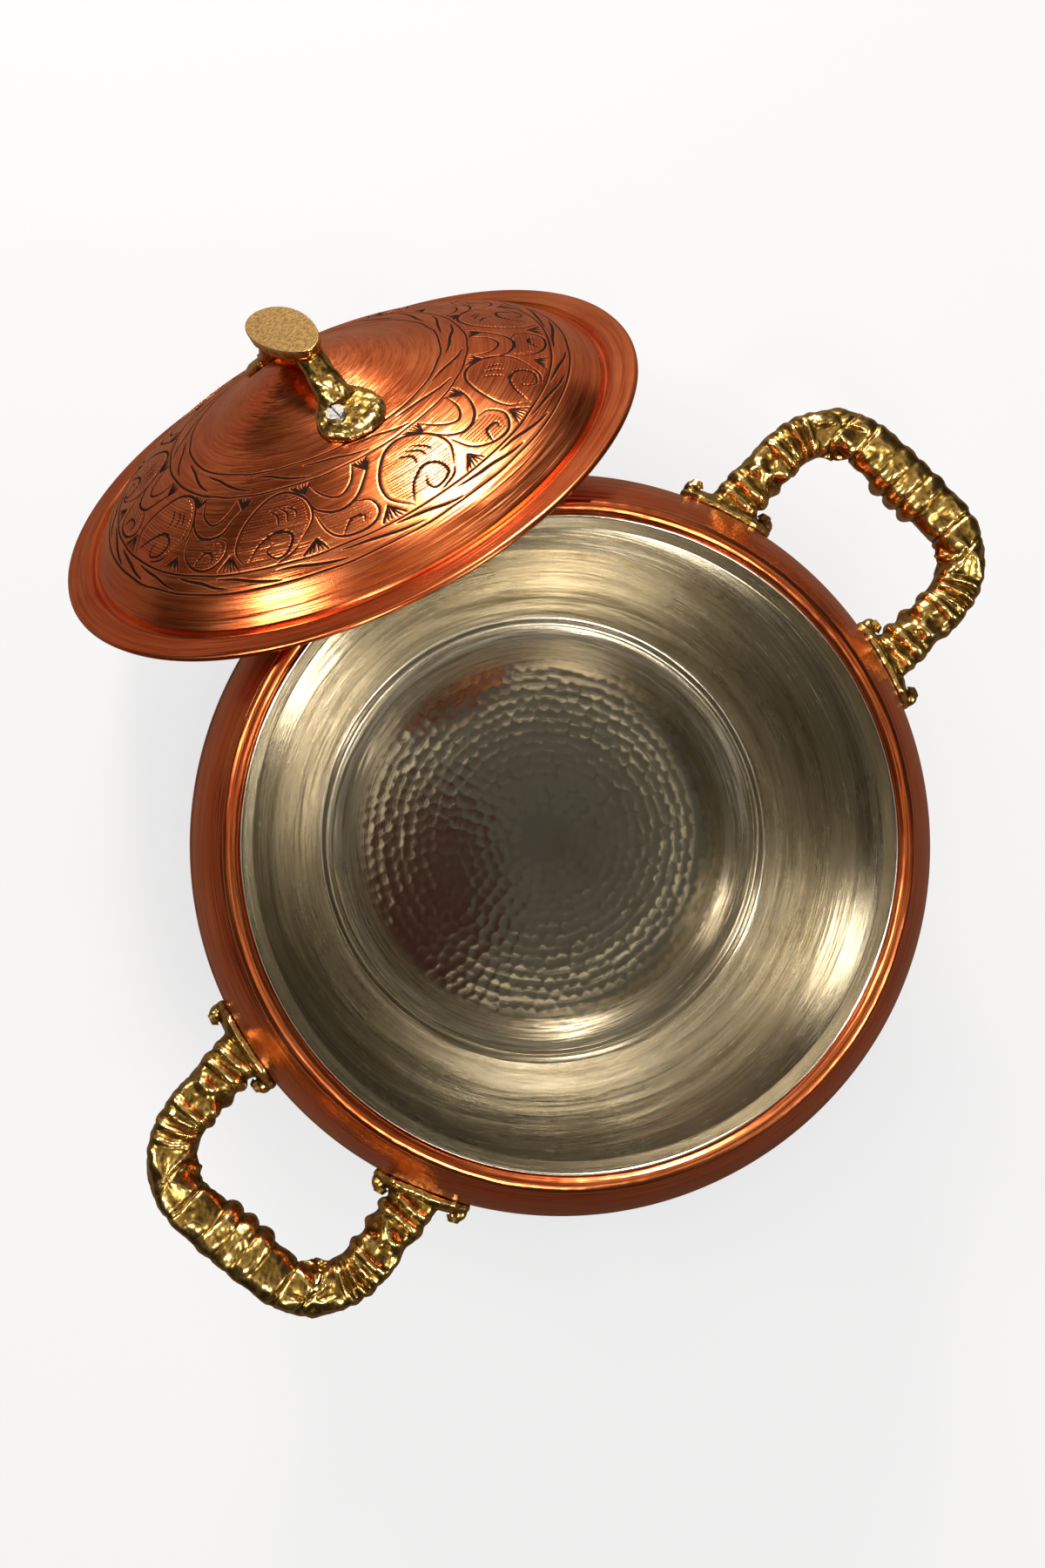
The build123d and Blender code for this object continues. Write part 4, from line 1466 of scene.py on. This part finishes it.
def add_card(name, centre, half, tint, turn):
    """A dark oval card that the metals mirror and the camera doesn't see, with a faint painted glow in place
    of the light falling on it.
    """
    turns = [index * 2 * pi / CARD_CORNERS for index in range(CARD_CORNERS)]
    corners = [(half[0] * cos(corner), half[1] * sin(corner), 0) for corner in turns]
    points = [turn @ (Vector(centre) + Vector(corner)) for corner in (*corners, (0, 0, 0))]
    fan = [(index, (index + 1) % CARD_CORNERS, CARD_CORNERS) for index in range(CARD_CORNERS)]
    card = fill_mesh(name, points, [], fan)
    dark = Finish(f"{name}_cloth")
    # Painted light: the card is black and glows faintly, standing in for the light falling on it
    dark.set(Base_Color=(0.0, 0.0, 0.0), Roughness=1.0, Emission_Color=tint, Emission_Strength=1.0)
    dress(card, dark.material)
    card.visible_camera = False


def make_room(strength):
    """A dim room for the metals to mirror, behind a backdrop that only the camera sees."""
    world = bpy.data.worlds.new("room")
    world.use_nodes = True
    room = Nodes(world.node_tree)
    dim = room.node("ShaderNodeBackground", sockets={"Color": ROOM_TINT, "Strength": strength})
    backdrop = room.node("ShaderNodeBackground", sockets={"Color": BACKDROP})
    seen = room.node("ShaderNodeLightPath")
    both = room.node("ShaderNodeMixShader", sockets={0: seen, 1: dim, 2: backdrop})
    room.add("ShaderNodeOutputWorld", sockets={"Surface": both})
    return world


class COPPERPOT_OT_stage(Operator):
    """Set the floor, the lights, the room and the camera"""

    bl_idname = "copper_pot.stage"
    bl_label = "Stage"

    def execute(self, context):
        stage = sizes("stage")
        scene = context.scene
        corners = [(-1, -1), (1, -1), (1, 1), (-1, 1)]
        floor = fill_mesh("floor", [(x * FLOOR_HALF, y * FLOOR_HALF, 0) for x, y in corners], [(0, 1, 2, 3)])
        dress(floor, floor_finish())
        turn = Matrix.Rotation(-stage.handle_turn, 4, "Z")
        for name, place, size, power, tint in LAMPS:
            add_lamp(name, turn @ Vector(place), size, power, tint)
        for name, centre, half, tint in CARDS:
            add_card(name, centre, half, tint, turn)
        scene.world = make_room(stage.world)
        camera = bpy.data.cameras.new("camera")
        camera.sensor_width = 36.0
        camera.lens = stage.lens
        camera.clip_start = 0.01
        holder = link_object("camera", camera)
        tilt_x, tilt_y = stage.camera_tilt
        look = (Matrix.Rotation(tilt_x, 4, "X") @ Matrix.Rotation(tilt_y, 4, "Y")).transposed()
        holder.matrix_world = Matrix.Translation(stage.camera_place) @ turn @ look
        scene.camera = holder
        scene.view_settings.view_transform = "Standard"
        return {"FINISHED"}


class COPPERPOT_PT_panel(Panel):
    """Steps of the copper pot, in order"""

    bl_idname = "COPPERPOT_PT_panel"
    bl_label = "Copper Pot"
    bl_space_type = "VIEW_3D"
    bl_region_type = "UI"
    bl_category = "Copper Pot"

    def draw(self, context):
        for step in STEPS:
            self.layout.operator(step.bl_idname)


STEPS = (
    COPPERPOT_OT_stage, COPPERPOT_OT_body, COPPERPOT_OT_lining, COPPERPOT_OT_lid, COPPERPOT_OT_handles,
    COPPERPOT_OT_knob,
)
GROUPS = (PotSizes, LidSizes, HandleSizes, Finishes, StageSettings, CopperPotSettings)


def register():
    for kind in GROUPS + STEPS + (COPPERPOT_PT_panel,):
        bpy.utils.register_class(kind)
    bpy.types.Scene.copper_pot = PointerProperty(type=CopperPotSettings)


def unregister():
    del bpy.types.Scene.copper_pot
    for kind in reversed(GROUPS + STEPS + (COPPERPOT_PT_panel,)):
        bpy.utils.unregister_class(kind)


def main():
    register()
    for step in STEPS:
        group, name = step.bl_idname.split(".")
        result = getattr(getattr(bpy.ops, group), name)()
        if result != {"FINISHED"}:
            raise RuntimeError(f"the step {step.bl_label} did not finish")


if __name__ == "__main__":
    main()
